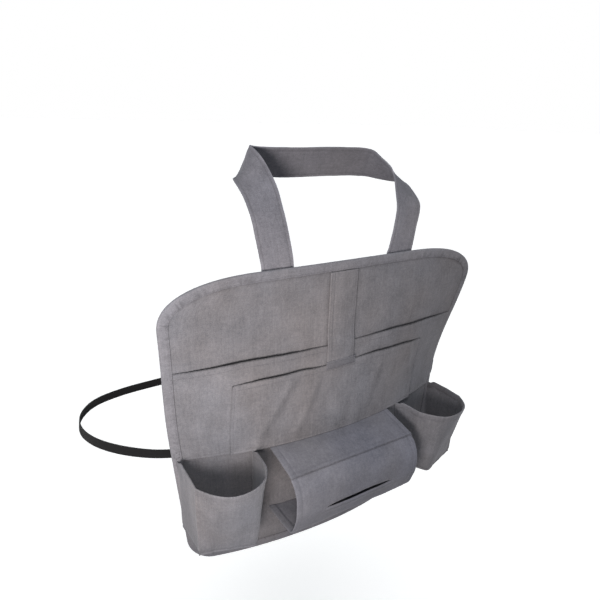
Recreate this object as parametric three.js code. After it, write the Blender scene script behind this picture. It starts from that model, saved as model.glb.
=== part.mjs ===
// Organizer for a car: a bowed cloth panel with pockets, which hangs by a band.
// Millimetres. X runs to the right, Y to the rear, Z up. The origin is the middle of the
// panel's top edge, on the front face. The cloth keeps the filled-out form of its use.

import * as THREE from "three";

// Driving dimensions

// Clearance that stitched layers keep from each other
const layerGap = 0.3;

// Panel
const panelWidth = 426;
const panelHeight = 360;
const panelThickness = 2.4;
const widestBelowTop = 50;
const sideTaper = 0.098;
const topCornerAcross = 120;
const topCornerRoundness = 2.5;
const bottomCornerAcross = 26;
const bottomCornerDown = 28;
const bottomCornerRoundness = 2;

// Bow of the panel: how far its sides lie behind its middle
const bowAtTop = 4.5;
const bowLowDown = 41;
const bowStartsBelowTop = 20;
const bowFullBelowTop = 200;

// Tape folded round the whole edge
const bindingWidth = 10;
const bindingThickness = 0.9;

// Pocket sheets. Their common lower seam is set from the panel's bottom edge.
const pocketThickness = 1.4;
const upperMouthBelowTop = 99;
const upperPocketGape = 7.5;
const frontMouthBelowUpper = 24;
const frontPocketWidth = 272;
const frontPocketGape = 6.5;
const lowerSeamAboveBottom = 144.3;

// Strip down the middle, and the tab that closes its lower end
const stripWidth = 38;
const stripThickness = 1.6;
const stripEndAboveMouth = 1;
const tabOverhang = 1.5;
const tabTopAboveMouth = 4.5;
const tabHeight = 10;
const tabThickness = 1.2;

// Sleeve, between the cup pockets
const sleeveBesideCups = 19.5;
const sleeveThickness = 1.5;
const sleeveTopFrontReach = 43.7;
const sleeveTopDrop = 11;
const sleeveBulge = 15;
const sleeveHeight = 88;
const sleeveFloorReach = 46;
const slotLength = 100;
const slotHeight = 6;
const slotBelowFrontEdge = 44;

// Cup pockets
const cupRadius = 38.5;
const cupClearance = 0.5;
const cupWallThickness = 1.6;
const cupFromPanelEdge = 3.8;
const cupTopAboveSeam = 4.7;
const cupTopRiseStart = 5;
const cupTopRiseReach = 10;
const cupPocketHeight = 92;
const cupInnerSeamOut = 3.2;
const cupOuterSeamFromEdge = 2;
const cupCornerProud = 1.5;
const cupBottomOuterReach = 23;
const cupBottomInnerReach = 41;
const cupBottomBelly = 3;
const cupBottomCorner = 6;
const cupBottomOuterShrink = 3;
const cupBottomInnerShrink = 14;

// Hanging band, in one length from one sewn end to the other
const bandWidth = 38;
const bandThickness = 1.8;
const bandSpacing = 167;
const bandSewnLength = 30;
const bandCrossHeight = 101;
const bandCrossSetback = 72;
const bandCrossLean = 17;

// Patches sewn over the ends of the band, behind the panel
const patchMargin = 4;
const patchHeight = 24;
const patchThickness = 1.2;

// Elastic loop behind the panel
const elasticWidth = 11;
const elasticThickness = 1.4;
const elasticBelowTop = 209;
const elasticOutside = 76.6;
const elasticDepth = 210;
const elasticSewnLength = 18;

// Colours and finish
const cloth = { color: 0x7d7b82, roughness: 0.95, metalness: 0 };
const clothShade = { color: 0x6f6e77, roughness: 0.95, metalness: 0 };
const tape = { color: 0x77757d, roughness: 0.9, metalness: 0 };
const blackElastic = { color: 0x151516, roughness: 0.85, metalness: 0 };

const organizer = new THREE.Group();
organizer.name = "car_seat_back_organizer";

// Shape of the panel

function clampUnit(value) {
  return Math.min(1, Math.max(0, value));
}

function smooth(value) {
  const t = clampUnit(value);
  return t * t * (3 - 2 * t);
}

// Distance of the panel's front face behind a flat sheet, at x and z
function bow(x, z) {
  const span = bowFullBelowTop - bowStartsBelowTop;
  const share = smooth((-z - bowStartsBelowTop) / span);
  const depth = bowAtTop + (bowLowDown - bowAtTop) * share;
  const half = panelWidth / 2;
  return depth * (x / half) * (x / half);
}

// How far a rounded corner cuts the side back, where t runs from 0 to 1 into the corner
function cornerCut(t, across, roundness) {
  const rest = 1 - Math.pow(clampUnit(t), roundness);
  return across * (1 - Math.pow(rest, 1 / roundness));
}

// Half the panel's width at height z
function halfWidth(z) {
  const below = -z;
  const straight = panelWidth / 2 - sideTaper * (below - widestBelowTop);
  const intoTop = (widestBelowTop - below) / widestBelowTop;
  const intoBottom = (below - panelHeight + bottomCornerDown) / bottomCornerDown;
  const topCut = cornerCut(intoTop, topCornerAcross, topCornerRoundness);
  const bottomCut = cornerCut(intoBottom, bottomCornerAcross, bottomCornerRoundness);
  return straight - topCut - bottomCut;
}

// A point that lies off the panel's front face, with a positive offset to the rear
function onPanel(x, z, offset) {
  const step = 0.5;
  const slopeX = (bow(x + step, z) - bow(x - step, z)) / (2 * step);
  const slopeZ = (bow(x, z + step) - bow(x, z - step)) / (2 * step);
  const normal = new THREE.Vector3(-slopeX, 1, -slopeZ).normalize();
  return new THREE.Vector3(x, bow(x, z), z).addScaledVector(normal, offset);
}

// Building of closed meshes

// Turns the faces outwards, whichever way the grid ran
function facesOut(positions, index) {
  let volume = 0;
  const a = new THREE.Vector3();
  const b = new THREE.Vector3();
  const c = new THREE.Vector3();
  for (let k = 0; k < index.length; k += 3) {
    a.fromArray(positions, 3 * index[k]);
    b.fromArray(positions, 3 * index[k + 1]);
    c.fromArray(positions, 3 * index[k + 2]);
    volume += a.dot(b.cross(c));
  }
  if (volume < 0) index.reverse();
  const geometry = new THREE.BufferGeometry();
  geometry.setAttribute("position", new THREE.Float32BufferAttribute(positions, 3));
  geometry.setIndex(index);
  geometry.computeVertexNormals();
  return geometry;
}

// A sheet with a front and a back surface, each a grid of points, and walls along its borders
function sheet(columns, rows, front, back, isHole = () => false) {
  const positions = [];
  for (const surface of [front, back]) {
    for (let j = 0; j < rows; j += 1) {
      for (let i = 0; i < columns; i += 1) positions.push(...surface(i, j).toArray());
    }
  }
  const behind = columns * rows;
  const at = (i, j) => j * columns + i;
  const isCloth = (i, j) =>
    i >= 0 && j >= 0 && i < columns - 1 && j < rows - 1 && !isHole(i, j);
  const index = [];
  const quad = (a, b, c, d) => index.push(a, b, c, a, c, d);
  for (let j = 0; j < rows - 1; j += 1) {
    for (let i = 0; i < columns - 1; i += 1) {
      if (!isCloth(i, j)) continue;
      const corners = [at(i, j), at(i + 1, j), at(i + 1, j + 1), at(i, j + 1)];
      const [a, b, c, d] = corners;
      quad(a, b, c, d);
      quad(d + behind, c + behind, b + behind, a + behind);
      if (!isCloth(i, j - 1)) quad(b, a, a + behind, b + behind);
      if (!isCloth(i + 1, j)) quad(c, b, b + behind, c + behind);
      if (!isCloth(i, j + 1)) quad(d, c, c + behind, d + behind);
      if (!isCloth(i - 1, j)) quad(a, d, d + behind, a + behind);
    }
  }
  return facesOut(positions, index);
}

// A closed section carried once round a closed path
function ring(pathCount, sectionCount, point) {
  const positions = [];
  const index = [];
  for (let j = 0; j < pathCount; j += 1) {
    for (let i = 0; i < sectionCount; i += 1) {
      positions.push(...point(i, j).toArray());
      const nextI = (i + 1) % sectionCount;
      const nextJ = (j + 1) % pathCount;
      const a = j * sectionCount + i;
      const b = j * sectionCount + nextI;
      const c = nextJ * sectionCount + nextI;
      const d = nextJ * sectionCount + i;
      index.push(a, b, c, a, c, d);
    }
  }
  return facesOut(positions, index);
}

function addPart(name, geometry, finish) {
  const mesh = new THREE.Mesh(geometry, new THREE.MeshStandardMaterial(finish));
  mesh.name = name;
  organizer.add(mesh);
}

// Evenly spaced values from first to last
function spread(first, last, count) {
  return Array.from({ length: count }, (_, k) => first + ((last - first) * k) / (count - 1));
}

// Back panel

// Heights of the grid's rows, closer together in the rounded corners
const cornerSteps = [0, 0.012, 0.05, 0.11, 0.19, 0.29, 0.41, 0.55, 0.7, 0.85];
const panelRows = [
  ...cornerSteps.map((t) => -t * widestBelowTop),
  ...spread(-widestBelowTop, bottomCornerDown - panelHeight, 18),
  ...[0.3, 0.55, 0.75, 0.9, 0.98, 1].map((t) => bottomCornerDown * (1 - t) - panelHeight),
];
const panelColumns = spread(-1, 1, 23);

const panelPoint = (offset) => (i, j) => {
  const z = panelRows[j];
  return onPanel(panelColumns[i] * halfWidth(z), z, offset);
};

addPart(
  "back_panel",
  sheet(panelColumns.length, panelRows.length, panelPoint(0), panelPoint(panelThickness)),
  cloth,
);

// Edge binding, a tape folded over the panel's edge all the way round

// The outline, clockwise from the top left as seen from the front
const outline = [
  ...panelColumns.map((u) => new THREE.Vector2(u * halfWidth(0), 0)),
  ...panelRows.slice(1).map((z) => new THREE.Vector2(halfWidth(z), z)),
  ...panelColumns
    .slice(1, -1)
    .map((u) => new THREE.Vector2(-u * halfWidth(-panelHeight), -panelHeight)),
  ...panelRows.slice(1).reverse().map((z) => new THREE.Vector2(-halfWidth(z), z)),
];

// The direction into the cloth at each point of the outline, square to the edge there
const inward = outline.map((_, k) => {
  const before = outline[(k + outline.length - 1) % outline.length];
  const after = outline[(k + 1) % outline.length];
  const along = after.clone().sub(before).normalize();
  return new THREE.Vector2(along.y, -along.x);
});

// The folded section: distance into the cloth, and distance behind the front face
const tapeOut = layerGap + bindingThickness;
const bindingSection = [
  [bindingWidth, -tapeOut],
  [-tapeOut, -tapeOut],
  [-tapeOut, panelThickness + tapeOut],
  [bindingWidth, panelThickness + tapeOut],
  [bindingWidth, panelThickness + layerGap],
  [-layerGap, panelThickness + layerGap],
  [-layerGap, -layerGap],
  [bindingWidth, -layerGap],
];

addPart(
  "edge_binding",
  ring(outline.length, bindingSection.length, (i, j) => {
    const [into, behind] = bindingSection[i];
    const place = outline[j].clone().addScaledVector(inward[j], into);
    return onPanel(place.x, place.y, behind);
  }),
  tape,
);

// Pocket sheets

// A pocket gapes in two lobes, held to the panel at its sides, its floor and under the strip
function lobe(x, outer) {
  const inner = stripWidth / 2;
  const t = (Math.abs(x) - inner) / (outer - inner);
  const rise = smooth(t / 0.35);
  const fall = smooth((1 - t) / 0.35);
  return Math.min(rise, fall);
}

function gapeAt(x, z, outer, mouth, gape) {
  const down = (-z - mouth) / (pocketBottomBelowTop - mouth);
  return gape * lobe(x, outer) * (1 - smooth((down - 0.1) / 0.8));
}

const pocketBottomBelowTop = panelHeight - lowerSeamAboveBottom;
const frontMouthBelowTop = upperMouthBelowTop + frontMouthBelowUpper;
const besideBinding = bindingWidth + layerGap;
const upperHalf = (z) => halfWidth(z) - besideBinding;
const upperGape = (x, z) =>
  gapeAt(x, z, upperHalf(z), upperMouthBelowTop, upperPocketGape);
const upperBack = (x, z) => -layerGap - upperGape(x, z);
const upperFront = (x, z) => upperBack(x, z) - pocketThickness;

const upperColumns = spread(-1, 1, 31);
const upperRows = spread(-upperMouthBelowTop, -pocketBottomBelowTop, 11);
const upperPoint = (offset) => (i, j) => {
  const z = upperRows[j];
  const x = upperColumns[i] * upperHalf(z);
  return onPanel(x, z, offset(x, z));
};

addPart(
  "upper_pocket",
  sheet(upperColumns.length, upperRows.length, upperPoint(upperFront), upperPoint(upperBack)),
  cloth,
);

// The front pocket lies on the upper one, in the middle of the panel
const frontHalf = frontPocketWidth / 2;
const frontGape = (x, z) => gapeAt(x, z, frontHalf, frontMouthBelowTop, frontPocketGape);
const frontBack = (x, z) => upperFront(x, z) - layerGap - frontGape(x, z);
const frontFront = (x, z) => frontBack(x, z) - pocketThickness;

const frontColumns = spread(-frontHalf, frontHalf, 25);
const frontRows = spread(-frontMouthBelowTop, -pocketBottomBelowTop, 9);
const frontPoint = (offset) => (i, j) => {
  const x = frontColumns[i];
  const z = frontRows[j];
  return onPanel(x, z, offset(x, z));
};

addPart(
  "front_pocket",
  sheet(frontColumns.length, frontRows.length, frontPoint(frontFront), frontPoint(frontBack)),
  cloth,
);

// Centre strip, sewn in under the binding and across the mouth of the upper pocket

const stripTop = -besideBinding;
const stripEnd = stripEndAboveMouth - frontMouthBelowTop;
const onePocket = pocketThickness + layerGap;
const stripClimb = 12;
const stripBack = (z) => {
  const climbed = smooth((-z - upperMouthBelowTop + stripClimb + 1) / stripClimb);
  return -layerGap - onePocket * climbed;
};
const stripColumns = spread(-stripWidth / 2, stripWidth / 2, 3);
const stripRows = spread(stripTop, stripEnd, 22);
const stripPoint = (outwards) => (i, j) =>
  onPanel(stripColumns[i], stripRows[j], stripBack(stripRows[j]) - outwards);

addPart(
  "centre_strip",
  sheet(stripColumns.length, stripRows.length, stripPoint(stripThickness), stripPoint(0)),
  cloth,
);

// Tab across the strip's lower end, sewn to the front pocket's mouth

const tabBack = stripBack(stripEnd) - Math.max(stripThickness, pocketThickness) - layerGap;
const tabHalf = stripWidth / 2 + tabOverhang;
const tabTop = tabTopAboveMouth - frontMouthBelowTop;
const tabColumns = spread(-tabHalf, tabHalf, 3);
const tabRows = spread(tabTop, tabTop - tabHeight, 3);
const tabPoint = (outwards) => (i, j) =>
  onPanel(tabColumns[i], tabRows[j], tabBack - outwards);

addPart(
  "strip_tab",
  sheet(tabColumns.length, tabRows.length, tabPoint(tabThickness), tabPoint(0)),
  tape,
);

// Places of the cup pockets, which the sleeve lies between

const sleeveSeam = -pocketBottomBelowTop - layerGap;
const cupRim = cupTopAboveSeam - pocketBottomBelowTop;
const cupFloor = cupRim - cupPocketHeight;
const roundCup = cupRadius + cupClearance + cupWallThickness;
const gussetX = halfWidth(cupRim) - cupFromPanelEdge;
const cupX = gussetX - roundCup;
const cupY = bow(cupX, cupRim) - roundCup;
const innerSeamX = cupX - roundCup - cupInnerSeamOut;

// Sleeve: a top sheet, and a front sheet that turns under to the panel

const sleeveHalf = innerSeamX - sleeveBesideCups;
const sleeveEdgeHeight = sleeveSeam - sleeveTopDrop;
const sleeveColumns = spread(-sleeveHalf, sleeveHalf, 21);

// Where a sleeve sheet ends against the panel, at x and z
const againstPanel = (x, z) => onPanel(x, z, -layerGap).y;

const topSteps = spread(0, 1, 7);
const sleeveTopPoint = (down) => (i, j) => {
  const x = sleeveColumns[i];
  const t = topSteps[j];
  const z = sleeveSeam - sleeveTopDrop * t - down;
  const back = againstPanel(x, z);
  return new THREE.Vector3(x, back + (-sleeveTopFrontReach - back) * t, z);
};

addPart(
  "sleeve_top",
  sheet(
    sleeveColumns.length,
    topSteps.length,
    sleeveTopPoint(0),
    sleeveTopPoint(sleeveThickness),
  ),
  clothShade,
);

// The front sheet's outer profile: reach in front of the origin and height, from the top
// edge over the bulge and past the slot to the floor
const floorHeight = sleeveSeam - sleeveHeight;
const frontTopHeight = sleeveEdgeHeight - sleeveThickness - layerGap;
const slotTop = sleeveEdgeHeight - slotBelowFrontEdge;
const slotBottom = slotTop - slotHeight;
const aboveSlot = (bulged, down) => [
  sleeveTopFrontReach + bulged * sleeveBulge,
  frontTopHeight + down * (slotTop - frontTopHeight),
];
const belowSlot = (bulged, down) => [
  sleeveFloorReach + bulged * (sleeveTopFrontReach + sleeveBulge - sleeveFloorReach),
  slotBottom + down * (floorHeight - slotBottom),
];
const sleeveProfile = [
  aboveSlot(0, 0),
  aboveSlot(0.55, 0.19),
  aboveSlot(0.9, 0.43),
  aboveSlot(1, 0.69),
  aboveSlot(0.98, 1),
  belowSlot(0.92, 0),
  belowSlot(0.7, 0.37),
  belowSlot(0.32, 0.81),
  belowSlot(0, 0.93),
  [0.74 * sleeveFloorReach, floorHeight],
  [0.33 * sleeveFloorReach, floorHeight],
  [0, floorHeight],
];
const slotRow = 4;

// The inner profile lies one thickness inside the outer one, square to it
const sleeveNormals = sleeveProfile.map((_, k) => {
  const before = sleeveProfile[Math.max(0, k - 1)];
  const after = sleeveProfile[Math.min(sleeveProfile.length - 1, k + 1)];
  const along = new THREE.Vector2(after[0] - before[0], after[1] - before[1]).normalize();
  return new THREE.Vector2(along.y, -along.x);
});

// Columns of the front sheet, with one at each end of the slot
const slotHalf = slotLength / 2;
const frontSheetColumns = [
  ...spread(-sleeveHalf, -slotHalf, 4),
  ...spread(-slotHalf, slotHalf, 9).slice(1, -1),
  ...spread(slotHalf, sleeveHalf, 4),
];
const isSlot = (i, j) => {
  const middle = (frontSheetColumns[i] + frontSheetColumns[i + 1]) / 2;
  return j === slotRow && Math.abs(middle) < slotHalf;
};
const sleeveFrontPoint = (inside) => (i, j) => {
  const x = frontSheetColumns[i];
  const reach = sleeveProfile[j][0] + sleeveNormals[j].x * inside;
  const z = sleeveProfile[j][1] + sleeveNormals[j].y * inside;
  const last = j === sleeveProfile.length - 1;
  return new THREE.Vector3(x, last ? againstPanel(x, z) : -reach, z);
};

addPart(
  "sleeve_front",
  sheet(
    frontSheetColumns.length,
    sleeveProfile.length,
    sleeveFrontPoint(0),
    sleeveFrontPoint(sleeveThickness),
    isSlot,
  ),
  clothShade,
);

// Cup pockets: a wall that runs out from the panel's edge, round and back, and a base

// The line through some points of a plan, as evenly spaced points
function evenLine(points, count) {
  const places = points.map(([x, y]) => new THREE.Vector3(x, y, 0));
  const curve = new THREE.CatmullRomCurve3(places, false, "centripetal");
  return curve.getSpacedPoints(count - 1).map(({ x, y }) => new THREE.Vector2(x, y));
}

// Outer line of the right wall in plan: a straight gusset from the panel's edge forward to
// the corner crease, then the front and the inner side back to the panel
const outerSeam = [gussetX, bow(gussetX, cupRim)];
const innerSeam = [innerSeamX, bow(innerSeamX, cupRim)];
const creaseTop = [gussetX + cupCornerProud, cupY - 0.17 * roundCup];
const creaseFoot = [creaseTop[0] - cupBottomOuterShrink, -cupBottomOuterReach];
const roundFront = spread(-25, -180, 12).map((degrees) => {
  const angle = THREE.MathUtils.degToRad(degrees);
  return [cupX + roundCup * Math.cos(angle), cupY + roundCup * Math.sin(angle)];
});
const innerFoot = cupX - roundCup + cupBottomInnerShrink;
const meanReach = (cupBottomOuterReach + cupBottomInnerReach) / 2;

const cupTop = [
  ...evenLine([outerSeam, creaseTop], 4),
  ...evenLine([creaseTop, ...roundFront, innerSeam], 19).slice(1),
];
const cupBottom = [
  ...evenLine([outerSeam, creaseFoot], 4),
  ...evenLine(
    [
      creaseFoot,
      [cupX, -meanReach - cupBottomBelly],
      [innerFoot + cupBottomCorner, -cupBottomInnerReach],
      [innerFoot, cupBottomCorner - cupBottomInnerReach],
      [innerSeamX + 2, 0],
      innerSeam,
    ],
    19,
  ).slice(1),
];
const cupRows = spread(0, 1, 7);
const lastCupPoint = cupTop.length - 1;

// The directions into the pocket, square to a line of the wall
function inwardFrom(line) {
  return line.map((_, k) => {
    const before = line[Math.max(0, k - 1)];
    const after = line[Math.min(lastCupPoint, k + 1)];
    const along = after.clone().sub(before).normalize();
    return new THREE.Vector2(along.y, -along.x);
  });
}
const insideTop = inwardFrom(cupTop);
const insideBottom = inwardFrom(cupBottom);

// Where a piece ends against the front of the binding, at x and z
const againstBinding = (x, z) => onPanel(x, z, -tapeOut - layerGap).y;

// A point of the wall, on the right side for side 1 and mirrored for side -1. The outer end
// is sewn to the binding and the inner one to the panel, and the top edge drops a little at
// both.
function cupWallPoint(side, inside, k, t) {
  const square = insideTop[k].clone().lerp(insideBottom[k], t).normalize();
  const flat = cupTop[k].clone().lerp(cupBottom[k], t).addScaledVector(square, inside);
  const ahead = bow(cupTop[k].x, cupRim) - cupTop[k].y;
  const risen = smooth((ahead - cupTopRiseStart) / cupTopRiseReach);
  const topZ = (sleeveSeam - layerGap) * (1 - risen) + cupRim * risen;
  const z = topZ + (cupFloor - topZ) * t;
  if (k === 0) {
    flat.x = halfWidth(z) - cupOuterSeamFromEdge - inside;
    flat.y = againstBinding(flat.x, z);
  }
  if (k === lastCupPoint) flat.y = againstPanel(flat.x, z);
  return new THREE.Vector3(side * flat.x, flat.y, z);
}

function cupWall(side) {
  const outside = (k, j) => cupWallPoint(side, 0, k, cupRows[j]);
  const inside = (k, j) => cupWallPoint(side, cupWallThickness, k, cupRows[j]);
  return sheet(cupTop.length, cupRows.length, outside, inside);
}

// The base fills the wall's lower end, from the panel to the inside of the wall
function cupBase(side) {
  const steps = spread(0, 1, 5);
  const inset = cupWallThickness + layerGap;
  const first = cupWallPoint(1, inset, 0, 1).x;
  const last = cupWallPoint(1, inset, lastCupPoint, 1).x;
  const kept = cupTop.length - 2;
  const point = (lift) => (i, j) => {
    const wall = cupWallPoint(1, inset, i + 1, 1);
    const z = cupFloor + lift;
    const x = first + ((last - first) * i) / (kept - 1);
    const back = againstBinding(x, z);
    const t = steps[j];
    return new THREE.Vector3(side * (x + (wall.x - x) * t), back + (wall.y - back) * t, z);
  };
  return sheet(kept, steps.length, point(0), point(cupWallThickness));
}

for (const [side, word] of [[-1, "left"], [1, "right"]]) {
  addPart(`cup_wall_${word}`, cupWall(side), cloth);
  addPart(`cup_base_${word}`, cupBase(side), clothShade);
}

// Hanging band: two legs sewn behind the panel, that rise and lean outwards, turn inwards
// with a fold and meet in a cross run that stands on edge behind the panel

const bandHalf = bandWidth / 2;
const legX = bandSpacing / 2;
const behindPanel = panelThickness + layerGap + bindingThickness + layerGap;
const legBackY = behindPanel + bandThickness / 2;
const legInner = legX - bandHalf;

// Stations from a sewn end to the middle. Each gives the band's inner or upper edge, then its
// outer or lower edge. The sewn ones lie behind the panel, at these depths below its top edge,
// as shares of the sewn length.
const sewnStations = [1, 0.27].map((share) => {
  const onBack = (x) => onPanel(x, -share * bandSewnLength, legBackY);
  return { inner: onBack(legInner), outer: onBack(legInner + bandWidth) };
});

// The free ones are in band widths out from the leg's inner edge, in setbacks of the cross
// run behind the panel, and in heights of the cross run above it
function freeStations(shares) {
  const place = ([x, y, z]) =>
    new THREE.Vector3(legInner + x * bandWidth, y * bandCrossSetback, z * bandCrossHeight);
  return shares.map(([inner, outer]) => ({ inner: place(inner), outer: place(outer) }));
}

const leftTurn = freeStations([
  [[0, 0.072, 0.03], [1, 0.081, 0.03]],
  [[0.105, 0.111, 0.288], [1.105, 0.125, 0.306]],
  [[0.21, 0.195, 0.564], [1.21, 0.21, 0.564]],
  [[0.263, 0.306, 0.772], [1.263, 0.402, 0.742]],
  [[0.33, 0.472, 0.93], [1.237, 0.625, 0.832]],
  [[0.447, 0.653, 1.09], [1.132, 0.833, 0.857]],
  [[0.575, 0.896, 1.187], [0.666, 1.154, 0.861]],
  [[0.468, 0.91, 1.18], [0.316, 1.191, 0.867]],
  [[0.206, 0.896, 1.173], [-0.063, 1.177, 0.872]],
]);
const rightTurn = freeStations([
  [[0.08, 0.072, 0.028], [1.07, 0.1, -0.005]],
  [[0.28, 0.104, 0.29], [1.27, 0.146, 0.25]],
  [[0.455, 0.181, 0.562], [1.45, 0.2, 0.525]],
  [[0.61, 0.306, 0.732], [1.56, 0.463, 0.677]],
  [[0.72, 0.46, 0.865], [1.585, 0.7, 0.75]],
  [[0.64, 0.65, 0.98], [1.34, 0.87, 0.742]],
  [[0.37, 0.86, 1.112], [0.72, 1.105, 0.79]],
  [[0.1, 0.896, 1.15], [0.3, 1.126, 0.815]],
]);

// The cross run leans forwards, with its upper edge nearer to the panel
function crossStation(x) {
  const rise = Math.sqrt(bandWidth * bandWidth - bandCrossLean * bandCrossLean);
  const edge = (up) =>
    new THREE.Vector3(
      x,
      bandCrossSetback - up * bandCrossLean,
      bandCrossHeight + up * rise,
    );
  return { inner: edge(0.5), outer: edge(-0.5) };
}

// The whole run of stations, from the left sewn end to the right one
function bandRun() {
  const crossEnd = crossStation(legInner - 0.66 * bandWidth);
  const mirror = ({ x, y, z }) => new THREE.Vector3(-x, y, z);
  const left = [...sewnStations, ...leftTurn, crossEnd].map(({ inner, outer }) => {
    return { inner: mirror(inner), outer: mirror(outer) };
  });
  const right = [...sewnStations, ...rightTurn, crossEnd].reverse();
  return [...left, crossStation(0), ...right];
}

const run = bandRun();
const middles = run.map(({ inner, outer }) => inner.clone().add(outer).multiplyScalar(0.5));
const acrosses = run.map(({ inner, outer }) => outer.clone().sub(inner).normalize());
const middleCurve = new THREE.CatmullRomCurve3(middles, false, "centripetal");
const acrossCurve = new THREE.CatmullRomCurve3(acrosses, false, "centripetal");

// The curve's own parameter keeps both curves in step, station by station
const bandSteps = spread(0, 1, 97);
const bandFrames = bandSteps.map((t) => {
  const along = middleCurve.getTangent(t);
  const across = acrossCurve.getPoint(t);
  across.addScaledVector(along, -across.dot(along)).normalize();
  const normal = new THREE.Vector3().crossVectors(across, along).normalize();
  return { middle: middleCurve.getPoint(t), across, normal };
});
const bandPoint = (share) => (i, j) => {
  const { middle, across, normal } = bandFrames[j];
  const out = bandWidth * (i / 2 - 0.5);
  return middle
    .clone()
    .addScaledVector(across, out)
    .addScaledVector(normal, share * bandThickness);
};

addPart("hanging_band", sheet(3, bandSteps.length, bandPoint(-0.5), bandPoint(0.5)), cloth);

// Patches behind the panel, sewn over the ends of the band

for (const [side, word] of [[-1, "left"], [1, "right"]]) {
  const patchHalf = bandHalf + patchMargin;
  const patchFoot = -bandSewnLength - patchMargin;
  const columns = spread(-patchHalf, patchHalf, 3).map((x) => side * legX + x);
  const rows = spread(patchFoot + patchHeight, patchFoot, 3);
  const patchBack = legBackY + bandThickness / 2 + layerGap;
  const onPatch = (offset) => (i, j) => onPanel(columns[i], rows[j], patchBack + offset);
  addPart(`band_patch_${word}`, sheet(3, 3, onPatch(0), onPatch(patchThickness)), tape);
}

// Elastic loop: its ends are sewn behind the panel's side edges, and it bows out to the rear

const elasticZ = -elasticBelowTop;
const edgeX = halfWidth(elasticZ);
const elasticBehind = behindPanel + elasticThickness / 2;
const sewnTo = (x) => onPanel(x, elasticZ, elasticBehind);

// The loop's bend at the sides, as shares of its reach out from the panel's edge and of
// its depth behind that edge
const elasticBend = [
  [0.26, 0.07],
  [0.65, 0.226],
  [0.9, 0.39],
  [1, 0.56],
  [0.92, 0.736],
  [0.65, 0.883],
  [0.19, 0.96],
].map(([out, back]) => {
  const edgeY = sewnTo(edgeX).y;
  return new THREE.Vector3(
    edgeX + out * elasticOutside,
    edgeY + back * (elasticDepth - edgeY),
    elasticZ,
  );
});
const halfLoop = [
  sewnTo(edgeX - elasticSewnLength),
  sewnTo(edgeX - elasticSewnLength / 2),
  sewnTo(edgeX),
  ...elasticBend,
  new THREE.Vector3(0.73 * edgeX, 0.993 * elasticDepth, elasticZ),
  new THREE.Vector3(0, elasticDepth, elasticZ),
];
const mirrored = halfLoop.map((point) => new THREE.Vector3(-point.x, point.y, point.z));
const elasticCurve = new THREE.CatmullRomCurve3(
  [...halfLoop, ...mirrored.slice(0, -1).reverse()],
  false,
  "centripetal",
);
const elasticSteps = spread(0, 1, 89);
const elasticPoint = (share) => (i, j) => {
  const t = elasticSteps[j];
  const along = elasticCurve.getTangent(t);
  const outward = new THREE.Vector3(along.y, -along.x, 0).normalize();
  const point = elasticCurve.getPoint(t).addScaledVector(outward, share * elasticThickness);
  point.z += elasticWidth * (i - 0.5);
  return point;
};

addPart(
  "elastic_loop",
  sheet(2, elasticSteps.length, elasticPoint(0.5), elasticPoint(-0.5)),
  blackElastic,
);

export default organizer;
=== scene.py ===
"""Organizer of brushed suede cloth, sewn together piece by piece.

Lengths are in millimetres until a piece is laid, and each finished piece is in metres.
"""

import math

import bpy
from mathutils import Matrix, Vector, noise


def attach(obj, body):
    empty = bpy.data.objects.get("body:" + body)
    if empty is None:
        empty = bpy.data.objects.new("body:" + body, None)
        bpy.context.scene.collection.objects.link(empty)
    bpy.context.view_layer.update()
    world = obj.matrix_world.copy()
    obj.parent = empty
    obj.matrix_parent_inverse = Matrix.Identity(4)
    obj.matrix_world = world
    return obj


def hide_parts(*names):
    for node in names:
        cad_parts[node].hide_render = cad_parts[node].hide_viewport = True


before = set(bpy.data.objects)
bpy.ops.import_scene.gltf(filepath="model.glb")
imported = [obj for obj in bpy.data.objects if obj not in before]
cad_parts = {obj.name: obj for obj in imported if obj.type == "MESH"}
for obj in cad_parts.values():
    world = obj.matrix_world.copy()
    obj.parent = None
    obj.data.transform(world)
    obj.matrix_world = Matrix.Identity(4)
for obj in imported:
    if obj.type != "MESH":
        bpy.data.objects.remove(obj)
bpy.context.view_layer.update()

# Back panel. Two layers of brushed suede cloth over thin felt, 2.4 mm thick in all, cut
# with wide rounded top corners. In use it takes a shallow bow, and the seams of the
# pieces on its front pull both layers together in a fine groove.

MM = 0.001
PANEL_HALF = 213.0
PANEL_HEIGHT = 360.0
PANEL_THICKNESS = 2.4
POCKET_FLOOR = -215.7


def smooth(share):
    share = min(max(share, 0.0), 1.0)
    return share * share * (3.0 - 2.0 * share)


def bow(x, z):
    """How far the panel's front lies behind a flat sheet."""
    depth = 4.5 + 36.5 * smooth((-z - 20.0) / 180.0)
    return depth * (x / PANEL_HALF) ** 2


def corner_cut(share, across, roundness):
    share = min(max(share, 0.0), 1.0)
    return across * (1.0 - (1.0 - share**roundness) ** (1.0 / roundness))


def half_width(z):
    below = -z
    top_corner = corner_cut((50.0 - below) / 50.0, 120.0, 2.5)
    foot_corner = corner_cut((below - PANEL_HEIGHT + 28.0) / 28.0, 26.0, 2.0)
    return PANEL_HALF - 0.098 * (below - 50.0) - top_corner - foot_corner


def lie(x, z):
    """The soft unevenness that all the layers of the hung cloth share."""
    broad = noise.noise(Vector((x / 88.0, 3.1, z / 105.0)))
    close = noise.noise(Vector((x / 31.0, 7.7, z / 36.0)))
    return 1.0 * broad + 0.28 * close


def on_panel(x, z, off):
    """A point off the panel's front face, to the rear where off is positive."""
    lean_x = (bow(x + 1.0, z) - bow(x - 1.0, z)) / 2.0
    lean_z = (bow(x, z + 1.0) - bow(x, z - 1.0)) / 2.0
    square = Vector((-lean_x, 1.0, -lean_z)).normalized()
    return Vector((x, bow(x, z), z)) + square * (off + lie(x, z))


def bump(distance, width):
    """A soft ridge: 1 on its line, and nearly 0 beyond twice its width."""
    return math.exp(-((distance / width) ** 2))


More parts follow.
